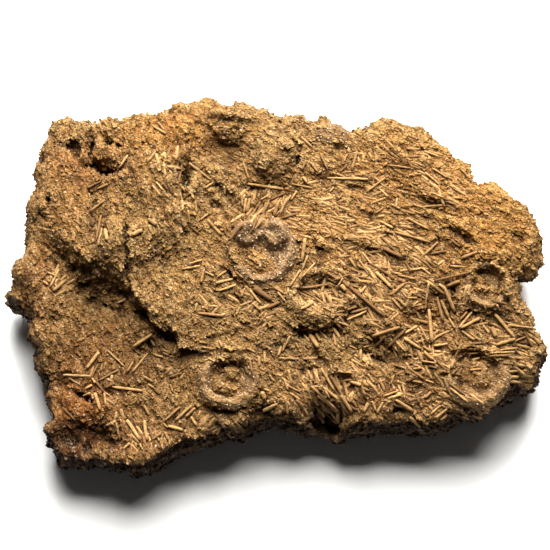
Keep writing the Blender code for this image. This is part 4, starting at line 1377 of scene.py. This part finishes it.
# The loose spines that stand out, by area: drawn ends and width (u1, v1, u2, v2, width) on the drawing grid.
# A spine of no stated width is USUAL_WIDTH wide.
USUAL_WIDTH = 2.5
SPINES = {
    "upper_left": (
        (87, 188, 101, 181), (97, 189, 108, 184), (90, 211, 105, 200), (119, 168, 128, 155),
        (153, 126, 166, 134, 3), (158, 122, 165, 131), (189, 163, 212, 181, 3), (182, 163, 178, 186),
        (205, 188, 214, 182), (243, 162, 249, 180), (241, 193, 243, 207, 3), (246, 198, 244, 213),
        (224, 186, 225, 195), (190, 193, 182, 200), (200, 220, 208, 214), (156, 182, 163, 190),
        (163, 183, 168, 190), (168, 184, 172, 194), (188, 210, 190, 224), (191, 227, 198, 233),
        (148, 219, 157, 225, 5), (132, 235, 142, 230, 5),
    ),
    "top_middle": (
        (248, 184, 283, 189, 3.5), (292, 184, 312, 188), (262, 214, 269, 202, 4), (274, 216, 278, 203, 4),
        (280, 214, 287, 198, 3), (247, 212, 250, 198, 4), (254, 212, 258, 204), (291, 200, 297, 191),
        (284, 205, 291, 195), (270, 200, 285, 193), (260, 200, 268, 196), (282, 218, 296, 214, 3),
        (279, 222, 288, 225, 2), (253, 230, 256, 218), (265, 227, 268, 219), (301, 137, 312, 147),
        (310, 162, 318, 172), (320, 153, 328, 170), (316, 174, 322, 171), (302, 170, 306, 160),
        (303, 177, 307, 183, 3), (327, 178, 368, 179, 3), (352, 170, 357, 151, 3), (344, 162, 347, 154),
        (340, 172, 347, 165), (330, 192, 334, 187), (337, 200, 343, 194), (335, 192, 338, 199),
    ),
    "upper_right": (
        (388, 165, 410, 168), (416, 146, 450, 153), (424, 151, 440, 157), (385, 178, 366, 192, 3),
        (380, 189, 388, 197), (397, 198, 396, 207), (391, 204, 400, 209), (409, 219, 428, 229, 3),
        (380, 221, 393, 228, 3), (395, 232, 430, 242, 3), (422, 207, 445, 205), (383, 208, 376, 213),
        (425, 172, 440, 185), (432, 168, 448, 178), (440, 170, 452, 180), (421, 178, 430, 186),
        (462, 258, 477, 252, 4), (450, 266, 466, 267), (434, 281, 470, 272, 3), (452, 240, 460, 247),
        (462, 170, 470, 179),
    ),
    "left_middle": (
        (101, 215, 96, 240), (102, 228, 98, 245), (105, 229, 107, 240, 4), (53, 291, 66, 280, 4),
        (50, 287, 59, 269), (47, 272, 58, 277), (43, 281, 48, 285, 3), (41, 279, 47, 273),
        (67, 284, 75, 279), (117, 303, 126, 299, 3),
    ),
    "centre": (
        (208, 220, 221, 235, 4), (224, 226, 226, 235), (229, 241, 243, 223, 4), (188, 264, 202, 260),
        (182, 269, 200, 266), (201, 283, 204, 269, 3.5), (205, 272, 214, 276), (216, 283, 233, 279, 3),
        (218, 291, 236, 285, 3), (217, 277, 226, 271), (235, 271, 243, 278), (198, 313, 223, 316, 3.5),
        (195, 311, 197, 303), (241, 297, 245, 288, 3), (232, 315, 236, 307), (236, 315, 240, 307),
        (240, 306, 252, 301), (305, 238, 302, 262, 4), (308, 255, 302, 270), (315, 263, 302, 277),
        (300, 270, 290, 286), (335, 280, 351, 274, 3), (338, 286, 343, 278), (341, 285, 346, 291, 5),
        (350, 287, 385, 317, 4), (350, 313, 368, 308, 3), (347, 320, 367, 311, 3), (345, 310, 357, 307),
        (303, 288, 330, 284), (301, 309, 313, 303, 4), (323, 307, 331, 311, 2), (254, 288, 272, 300, 6),
        (250, 290, 261, 304, 3), (252, 303, 260, 310, 3), (267, 308, 280, 302, 4), (278, 292, 285, 301),
        (360, 293, 366, 286, 3),
    ),
    "right_middle": (
        (376, 272, 392, 288, 4), (382, 272, 386, 282), (362, 252, 372, 265), (368, 262, 393, 277),
        (384, 272, 394, 279, 3), (391, 295, 405, 283, 4), (401, 290, 407, 298), (407, 298, 417, 298),
        (392, 298, 402, 310, 3), (397, 298, 406, 307, 3), (412, 307, 418, 301), (383, 248, 402, 257, 4),
        (382, 237, 393, 249), (405, 261, 411, 272, 3), (398, 275, 415, 279, 3), (412, 270, 422, 268, 3),
        (422, 268, 431, 275), (424, 255, 438, 242, 3), (430, 254, 446, 251, 3), (447, 286, 460, 281, 4),
        (429, 282, 426, 302), (439, 284, 447, 291, 3), (444, 287, 455, 312, 4), (437, 297, 443, 321, 3.5),
        (441, 300, 449, 318, 3.5), (449, 318, 455, 328), (429, 309, 432, 342, 4), (427, 292, 425, 310),
        (416, 311, 421, 320, 3), (420, 326, 428, 342, 3), (405, 333, 417, 326, 3), (391, 345, 404, 331, 3),
        (373, 336, 400, 327, 4), (459, 328, 472, 312, 3), (460, 320, 467, 312), (461, 328, 480, 318, 4),
        (462, 331, 474, 340, 3), (455, 340, 458, 345, 3), (433, 340, 440, 335), (411, 335, 416, 343),
    ),
    "right": (
        (495, 314, 515, 338, 4), (505, 322, 520, 327), (508, 325, 532, 328, 3), (496, 345, 515, 339, 4),
        (515, 341, 525, 337), (532, 336, 540, 345), (500, 350, 518, 348), (490, 353, 515, 352),
        (490, 356, 512, 355), (492, 327, 496, 337, 5), (483, 325, 489, 333, 3), (433, 346, 448, 344, 3),
        (472, 360, 480, 358, 3), (470, 370, 482, 369, 3), (452, 374, 457, 369, 3.5),
        (458, 375, 462, 368, 3.5), (484, 292, 490, 287, 3), (491, 300, 507, 304, 3), (505, 289, 519, 295, 3),
        (482, 303, 486, 309), (497, 305, 500, 311), (423, 346, 430, 351, 3),
    ),
    "lower_left": (
        (133, 347, 152, 334, 3.5), (151, 340, 155, 346), (135, 350, 140, 354), (132, 372, 148, 353),
        (127, 372, 133, 362, 3), (86, 369, 99, 352, 4), (91, 378, 98, 364), (64, 375, 80, 385),
        (63, 375, 90, 376, 3), (92, 378, 95, 383, 3), (98, 381, 118, 370), (96, 382, 104, 392),
        (105, 388, 115, 383, 3.5), (112, 387, 143, 391, 3.5), (95, 393, 100, 410, 4), (104, 393, 106, 406),
        (83, 396, 90, 393, 3), (85, 389, 92, 385, 3), (143, 376, 153, 382, 3), (148, 384, 154, 388),
        (154, 388, 158, 393, 3), (107, 350, 125, 367), (116, 422, 120, 440, 3), (127, 420, 140, 440, 4),
        (144, 420, 147, 440, 4), (144, 405, 149, 415, 3), (164, 400, 168, 394), (123, 449, 130, 443, 3),
        (63, 408, 75, 420),
    ),
    "lower_middle": (
        (163, 422, 180, 407, 3), (175, 421, 192, 405, 3.5), (186, 417, 195, 408, 3), (163, 423, 168, 428),
        (168, 426, 183, 430, 4), (184, 428, 186, 420, 3), (191, 417, 197, 426, 3.5),
        (209, 427, 214, 418, 3.5), (213, 411, 218, 418), (165, 432, 168, 440, 3), (152, 440, 161, 433, 3),
        (170, 377, 182, 373, 3), (170, 384, 173, 392), (174, 354, 176, 345, 3), (155, 355, 163, 357),
        (219, 340, 222, 347), (201, 347, 214, 349), (235, 422, 241, 427), (240, 431, 252, 438),
        (262, 392, 265, 399, 5), (263, 411, 277, 404, 4), (269, 375, 274, 381), (278, 358, 298, 359),
        (247, 348, 256, 353), (278, 356, 281, 347, 3), (282, 352, 290, 336),
    ),
    "bottom": (
        (304, 335, 309, 341, 3), (310, 335, 318, 347, 5), (316, 333, 320, 341, 3), (296, 343, 299, 349),
        (284, 379, 288, 390), (286, 385, 300, 392), (290, 393, 300, 400, 3), (311, 386, 337, 410, 3),
        (318, 395, 338, 412, 4), (321, 368, 335, 392, 3), (330, 375, 345, 400, 3), (336, 380, 342, 390, 3),
        (341, 395, 352, 412, 4), (338, 371, 352, 373, 3), (350, 382, 361, 385, 4), (345, 388, 350, 384, 4),
        (308, 370, 312, 380, 3.5), (368, 374, 374, 383, 3), (391, 384, 394, 375), (377, 413, 383, 402),
        (364, 412, 368, 403, 4), (372, 401, 376, 411), (353, 401, 357, 408, 3), (351, 407, 358, 410, 3),
        (367, 337, 373, 341, 3), (376, 346, 385, 336, 3), (388, 347, 402, 333, 3), (346, 335, 347, 347, 3),
        (350, 346, 357, 349), (285, 398, 288, 413, 3), (296, 400, 303, 407, 5),
    ),
    "bottom_right": (
        (404, 338, 421, 349, 4), (424, 352, 434, 360, 3.5), (421, 361, 436, 363), (428, 366, 437, 368),
        (413, 369, 422, 368, 3), (436, 360, 447, 371, 3), (451, 368, 454, 360, 4), (408, 368, 425, 380, 3),
        (425, 380, 434, 383), (413, 381, 422, 383, 3), (416, 393, 419, 403, 3.5), (425, 398, 431, 392, 3),
        (431, 414, 441, 405, 3), (433, 409, 443, 401, 3), (436, 418, 447, 409, 3), (396, 400, 413, 411, 4),
        (420, 403, 422, 408, 3), (410, 417, 420, 427, 4), (440, 420, 447, 415, 3), (384, 396, 398, 391),
        (395, 430, 403, 434, 3), (470, 394, 484, 404, 3), (450, 388, 468, 402), (450, 393, 475, 412),
        (449, 383, 465, 395),
    ),
}

# Swarms of small spines: (u, v, half width, half height, direction, spread, count, least and most length),
# with directions in degrees, 0 to the right and 90 down, and lengths in grid units
SWARMS = (
    (330, 390, 22, 22, 57, 8, 46, 14, 30), (436, 184, 36, 16, 28, 12, 50, 8, 24),
    (468, 400, 24, 14, 35, 12, 30, 10, 22), (300, 265, 60, 40, 20, 60, 40, 6, 16),
    (370, 225, 50, 30, 22, 30, 60, 8, 22), (355, 300, 50, 34, 35, 30, 90, 8, 22),
    (430, 300, 60, 50, 42, 40, 110, 8, 24), (400, 265, 50, 24, 25, 30, 60, 8, 24),
    (420, 370, 60, 30, 35, 40, 90, 8, 22), (290, 370, 50, 30, 40, 60, 50, 6, 16),
    (350, 375, 40, 30, 45, 50, 50, 7, 18), (515, 335, 26, 20, 25, 20, 40, 10, 24),
    (95, 380, 26, 14, -10, 60, 12, 7, 14), (140, 430, 46, 14, 78, 25, 26, 8, 18),
    (182, 200, 22, 50, 65, 30, 36, 7, 16), (70, 225, 30, 50, 20, 80, 16, 6, 14),
    (195, 420, 34, 10, -48, 20, 24, 8, 18), (262, 203, 34, 16, -66, 14, 44, 8, 18),
    (390, 240, 46, 16, 22, 20, 40, 10, 24), (400, 145, 46, 18, 10, 30, 40, 6, 14),
    (330, 215, 46, 28, 25, 25, 50, 6, 18), (240, 300, 40, 14, 0, 50, 24, 7, 16),
    (345, 182, 44, 14, 5, 20, 40, 8, 20), (160, 358, 16, 8, -20, 40, 8, 7, 14),
    (50, 280, 14, 14, -60, 40, 12, 7, 14), (318, 315, 24, 8, 20, 25, 20, 7, 14),
    (240, 430, 20, 8, 30, 40, 12, 7, 14), (522, 366, 20, 10, 0, 15, 12, 8, 16),
)
SPINE_ROOM, TRENCH_FLARE, TRENCH_BLEND = 0.0005, 0.3, 0.0004
# A spine is seated at SEAT_POINTS of its length, falls by no more than STEEPEST from end to end, and is
# lifted by no more than MOST_LIFT over uneven ground. There is none where the ground is under LOWEST.
PLAIN_TEST = (40, 14)
SEAT_POINTS, STEEPEST, MOST_LIFT, LOWEST = 7, 0.004, 0.0016, 0.012
# Small spines come in bundles: how many side by side, their widths, how far apart they are in widths, how
# they turn and shift, and how many bundles lie more askew than the rest, and by how much
BUNDLE, WIDTHS, SPACING = (2, 6), (2.4, 4.2), (0.9, 2.2)
BUNDLE_TURN, BUNDLE_SHIFT, ASKEW_SHARE, ASKEW = 0.2, 6.0, 0.25, 2.5
SMALL_SUNK, SMALL_PROUD = 0.62, 0.5
BARE_SHARE, BARE_COST = 0.9, 0.2


class SpineSettings(bpy.types.PropertyGroup):
    sunk: bpy.props.FloatProperty(name="Sunk", description="Share of a spine's thickness in the rock",
                                  default=0.2, subtype="FACTOR")
    taper: bpy.props.FloatProperty(name="Taper", description="How much thinner a tip is than its base",
                                   default=0.2, subtype="FACTOR")
    wear: bpy.props.FloatProperty(name="Wear", description="How far a worn spine strays from a true rod",
                                  default=0.00045, subtype="DISTANCE", unit="LENGTH")
    seed: bpy.props.IntProperty(name="Seed", description="Which random spread of the small spines", default=4)


def coarse_skin(field, corner, step):
    """The rock's surface with points twice as far apart."""
    points, faces = skin_of(field[::2, ::2, ::2], corner, 2 * step)
    return points, faces.tolist()


def ground_tree(points, faces):
    """The rock and the plain tests together, for rays to hit."""
    points, faces = [points], list(faces)
    for test in TESTS:
        shell, corners, _ = test_shell(test, *PLAIN_TEST, 0.0)
        start = sum(len(p) for p in points)
        points.append(shell)
        faces += [[start + k for k in face] for face in corners]
    return BVHTree.FromPolygons(np.concatenate(points).tolist(), faces)


def sighted(tree, u, v):
    """The point of the ground that is sighted at a drawn point, or None."""
    aim = Vector(plan(u, v, 0.0) - EYE).normalized()
    return tree.ray_cast(Vector(EYE), aim)[0]


def seated(tree, u1, v1, u2, v2, width, sunk, proud):
    """Both ends of a spine that lies on the ground at its drawn place, or None where there is no ground."""
    shares = np.linspace(0.0, 1.0, SEAT_POINTS)
    hits = [sighted(tree, u1 + (u2 - u1) * t, v1 + (v2 - v1) * t) for t in shares]
    if any(hit is None or hit.z < LOWEST for hit in hits):
        return None
    heights = np.array([hit.z for hit in hits])
    slope = np.clip(np.polyfit(shares, heights, 1)[0], -STEEPEST, STEEPEST)
    line = heights.mean() + slope * (shares - 0.5)
    lift = proud * min(max(0.0, (heights - line).max()), MOST_LIFT) + width * GRID * (0.5 - sunk)
    return plan(u1, v1, line[0] + lift), plan(u2, v2, line[-1] + lift)


def spine_points(name, spines, tree, sunk, proud, random):
    """Makes a loose point at the middle of each seated spine, and returns the spines' ends and radii."""
    middles, aims, lengths, girths, seats = [], [], [], [], []
    for u1, v1, u2, v2, width in spines:
        ends = seated(tree, u1, v1, u2, v2, width, sunk, proud)
        if ends is None:
            continue
        base, tip = ends if random.uniform() < 0.5 else ends[::-1]
        middles.append((base + tip) / 2)
        lengths.append(np.linalg.norm(tip - base))
        aims.append((tip - base) / lengths[-1])
        girths.append(width * GRID / 2)
        seats.append((base, tip, girths[-1]))
    point_object(name, middles, aim=aims, length=lengths, girth=girths,
                 tone=random.uniform(0.0, 1.0, len(middles)))
    return seats


def bare_test(u, v):
    """Whether a drawn point lies on the bare part of a test."""
    return any(math.hypot(*turned(u, v, test[1:6])) < BARE_SHARE for test in TESTS)


def bundle(cu, cv, angle, least, most, random):
    """A few small spines side by side, as drawn lines with widths."""
    side = 0.0
    for _ in range(random.integers(*BUNDLE)):
        half, width = random.uniform(least, most) / 2, random.uniform(*WIDTHS)
        turn, shift = angle + random.normal(0.0, BUNDLE_TURN), random.uniform(-BUNDLE_SHIFT, BUNDLE_SHIFT)
        mu = cu + shift * math.cos(angle) - side * math.sin(angle)
        mv = cv + shift * math.sin(angle) + side * math.cos(angle)
        du, dv = half * math.cos(turn), half * math.sin(turn)
        yield mu - du, mv - dv, mu + du, mv + dv, width
        side += width * random.uniform(*SPACING)


def drifted(random):
    """The small spines of the swarms, none of them on a bare test."""
    for u, v, half_u, half_v, direction, spread, count, least, most in SWARMS:
        laid = 0
        while laid < count:
            around, out = random.uniform(0, 2 * math.pi), math.sqrt(random.uniform())
            cu, cv = u + half_u * out * math.cos(around), v + half_v * out * math.sin(around)
            sway = spread * random.uniform(-1, 1)
            angle = math.radians(direction + sway * (ASKEW if random.uniform() < ASKEW_SHARE else 1.0))
            if bare_test(cu, cv):
                laid += BARE_COST
                continue
            spines = list(bundle(cu, cv, angle, least, most, random))
            laid += len(spines)
            yield from spines


class SLAB_OT_spines(bpy.types.Operator):
    """Lay the loose spines where they were found and strew the small ones between them"""

    bl_idname = "slab.spines"
    bl_label = "Spines"

    def execute(self, context):
        settings = context.scene.slab_spines
        random = np.random.default_rng(settings.seed)
        rock = bpy.data.objects["matrix"].data
        tree = ground_tree(points_of(rock), [list(face.vertices) for face in rock.polygons])
        finish = spine_finish()
        group = spine_group()
        spine_points("small_spines", list(drifted(random)), tree, SMALL_SUNK, SMALL_PROUD, random)
        for name, sides, rings in (("spines", 9, 6), ("small_spines", 6, 4)):
            piece = bpy.data.objects[name]
            run_tree(piece, group, {"Sides": sides, "Rings": rings, "Taper": settings.taper,
                                    "Wear": settings.wear, "Finish": finish})
            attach(piece, "root")
        return {"FINISHED"}


def spine_finish():
    """Pale to brown stone, a shade of its own for each spine, worn in places."""
    made, tree, place = start_material("spine_stone")
    tone = tree.attribute("tone")
    worn = tree.noise(place, 0.0016, 3.0, 0.6)
    base = tree.mix(tone, colour("74542F"), colour("AE8A57"))
    base = tree.mix(worn.above(0.42, 0.7) * 0.7, base, colour("745030"))
    base = tree.mix((1.0 - tone).above(0.75, 0.9) * 0.6, base, colour("5A3E22"))
    grains = tree.noise(place, 0.0005, 2.0, 0.6)
    finish_material(tree, base, 0.85, grains + worn, 0.0003)
    return made


# ---------------------------------------------------------------- grains

def grain_finish():
    """Stone of many shades for loose grains, a few of them almost white."""
    made, tree, place = start_material("grain_stone")
    tone = tree.attribute("tone")
    flecks = tree.noise(place, 0.0012, 3.0, 0.7).above(0.35, 0.65)
    base = tree.mix(tone * 0.6 + flecks * 0.4, colour("6E4A22"), colour("B8925A"))
    # The rock's colour from place to place, its painted light and shade included
    base = tree.mix(tree.attribute("tinted"), base, tree.attribute("tint", "Color"), "MULTIPLY")
    base = tree.mix(tone.above(0.982, 0.99) * 0.7, base, colour("C8B498"))
    finish_material(tree, base, 0.85, flecks, 0.0008)
    return made


class GrainSettings(bpy.types.PropertyGroup):
    fine: bpy.props.FloatProperty(name="Fine grains", description="Fine grains on a square metre of rock",
                                  default=200000.0)
    coarse: bpy.props.FloatProperty(name="Coarse grains", description="Crumbs on a square metre of rock",
                                    default=46000.0)
    chips: bpy.props.FloatProperty(name="Chips", description="Flat chips on a square metre of rock",
                                   default=300000.0)
    seed: bpy.props.IntProperty(name="Seed", description="Which random spread of the grains", default=11)


class SLAB_OT_grains(bpy.types.Operator):
    """Strew grit, crumbs, chips and flakes over the rock"""

    bl_idname = "slab.grains"
    bl_label = "Grains"

    def execute(self, context):
        settings = context.scene.slab_grains
        grains = {"Finish": grain_finish()}
        chips = {"Tilt": 0.4, "Spread": 0.7, "Finish": bpy.data.materials["rock_sandstone"]}
        self.strew("grit", grain_group(), settings.fine, 0.00026, 0.0006,
                   settings.seed, grains | {"Faceting": 1})
        self.strew("crumbs", bpy.data.node_groups["Grains on rock"], settings.coarse, 0.0005, 0.001,
                   settings.seed + 10, grains | {"Faceting": 2})
        self.strew("chips", chip_group(), settings.chips, 0.0006, 0.0014, settings.seed + 50, chips)
        self.strew("flakes", bpy.data.node_groups["Chips on rock"], settings.chips, 0.0013, 0.0032,
                   settings.seed + 60, chips)
        return {"FINISHED"}

    def strew(self, name, group, density, least, most, seed, more):
        """Makes one piece of many bits, from the least to the most size in metres."""
        piece = point_object(name, [(0.0, 0.0, 0.0)])
        run_tree(piece, group, {"Rock": bpy.data.objects["matrix"], "Pieces per Square Metre": density,
                                "Least": least, "Most": most, "Seed": seed} | more)
        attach(piece, "root")


FLOOR_HALF, FLOOR_DROP = 3.0, 0.0002
KEY_AIM, KEY_SIDE, KEY_DISTANCE, KEY_COLOUR = (0.0, 0.0, 0.02), 0.04, 0.9, (1.0, 0.985, 0.955)


class StageSettings(bpy.types.PropertyGroup):
    key_height: bpy.props.FloatProperty(name="Key height", description="Angle of the key light to the floor",
                                        default=math.radians(42.0), subtype="ANGLE", unit="ROTATION")
    key_power: bpy.props.FloatProperty(name="Key power", description="Power of the key light", default=47.5,
                                       subtype="POWER", unit="POWER")
    key_width: bpy.props.FloatProperty(name="Key width", description="Width of the key light", default=0.6,
                                       subtype="DISTANCE", unit="LENGTH")
    key_tall: bpy.props.FloatProperty(name="Key tall side", description="Height of the key light",
                                      default=0.9, subtype="DISTANCE", unit="LENGTH")
    fill: bpy.props.FloatProperty(name="Fill", description="Strength of the light all round", default=0.035)


class SLAB_OT_stage(bpy.types.Operator):
    """Set the pale floor, the soft lights and the camera"""

    bl_idname = "slab.stage"
    bl_label = "Stage"

    def execute(self, context):
        settings, scene = context.scene.slab_stage, context.scene
        lay_floor()
        world = bpy.data.worlds.new("surround")
        world.use_nodes = True
        world.node_tree.nodes["Background"].inputs["Color"].default_value = (1.0, 1.0, 1.0, 1.0)
        world.node_tree.nodes["Background"].inputs["Strength"].default_value = settings.fill
        scene.world = world
        scene.collection.objects.link(key_light(settings))
        scene.camera = sighting_camera()
        scene.collection.objects.link(scene.camera)
        scene.view_settings.view_transform = "Standard"
        return {"FINISHED"}


def lay_floor():
    """A wide white floor just under the slab."""
    made, tree, _ = start_material("floor_white")
    shader = tree.node("ShaderNodeBsdfPrincipled", {}, {
        "Base Color": (0.92, 0.92, 0.92, 1.0), "Roughness": 0.7, "Specular IOR Level": 0.1})
    tree.node("ShaderNodeOutputMaterial", {}, {"Surface": shader})
    corners = np.array([(a * FLOOR_HALF, b * FLOOR_HALF, -FLOOR_DROP) for a, b in
                        ((-1, -1), (1, -1), (1, 1), (-1, 1))])
    floor = mesh_object("floor", corners, np.array([(0, 1, 2, 3)]), made)


def key_light(settings):
    """The broad light behind and above the slab."""
    height = settings.key_height
    direction = Vector((KEY_SIDE, math.cos(height), math.sin(height))).normalized()
    key = bpy.data.objects.new("key", bpy.data.lights.new("key", "AREA"))
    key.data.energy, key.data.color = settings.key_power, KEY_COLOUR
    key.data.shape, key.data.size, key.data.size_y = "RECTANGLE", settings.key_width, settings.key_tall
    key.location = Vector(KEY_AIM) + direction * KEY_DISTANCE
    key.rotation_euler = direction.to_track_quat("Z", "Y").to_euler()
    return key


def sighting_camera():
    """The camera at EYE, which sees the drawing grid from edge to edge."""
    camera = bpy.data.objects.new("camera", bpy.data.cameras.new("camera"))
    camera.data.sensor_width = SENSOR_MM
    camera.data.lens = SENSOR_MM * SIGHT_DISTANCE / (DRAWING_SIDE * GRID)
    camera.data.clip_start = 0.01
    camera.location = EYE
    camera.rotation_euler = (SIGHT_TILT, 0.0, 0.0)
    return camera


class SLAB_PT_panel(bpy.types.Panel):
    """The slab's steps and settings"""

    bl_idname = "SLAB_PT_panel"
    bl_label = "Fossil Slab"
    bl_space_type = "VIEW_3D"
    bl_region_type = "UI"
    bl_category = "Fossil Slab"

    def draw(self, context):
        for operator in OPERATORS:
            self.layout.operator(operator.bl_idname)
        for group in GROUPS:
            box = self.layout.box()
            settings = getattr(context.scene, group)
            for name in settings.__annotations__:
                box.prop(settings, name)


OPERATORS = (SLAB_OT_rock, SLAB_OT_tests, SLAB_OT_spines, SLAB_OT_grains, SLAB_OT_stage)
GROUPS = {"slab_rock": RockSettings, "slab_tests": TestSettings, "slab_spines": SpineSettings,
          "slab_grains": GrainSettings, "slab_stage": StageSettings}


def register():
    for kind in (*GROUPS.values(), *OPERATORS, SLAB_PT_panel):
        bpy.utils.register_class(kind)
    for name, group in GROUPS.items():
        setattr(bpy.types.Scene, name, bpy.props.PointerProperty(type=group))


def unregister():
    for name in GROUPS:
        delattr(bpy.types.Scene, name)
    for kind in reversed((*GROUPS.values(), *OPERATORS, SLAB_PT_panel)):
        bpy.utils.unregister_class(kind)


def main():
    register()
    for operator in OPERATORS:
        getattr(bpy.ops.slab, operator.bl_idname.split(".")[1])()


if __name__ == "__main__":
    main()
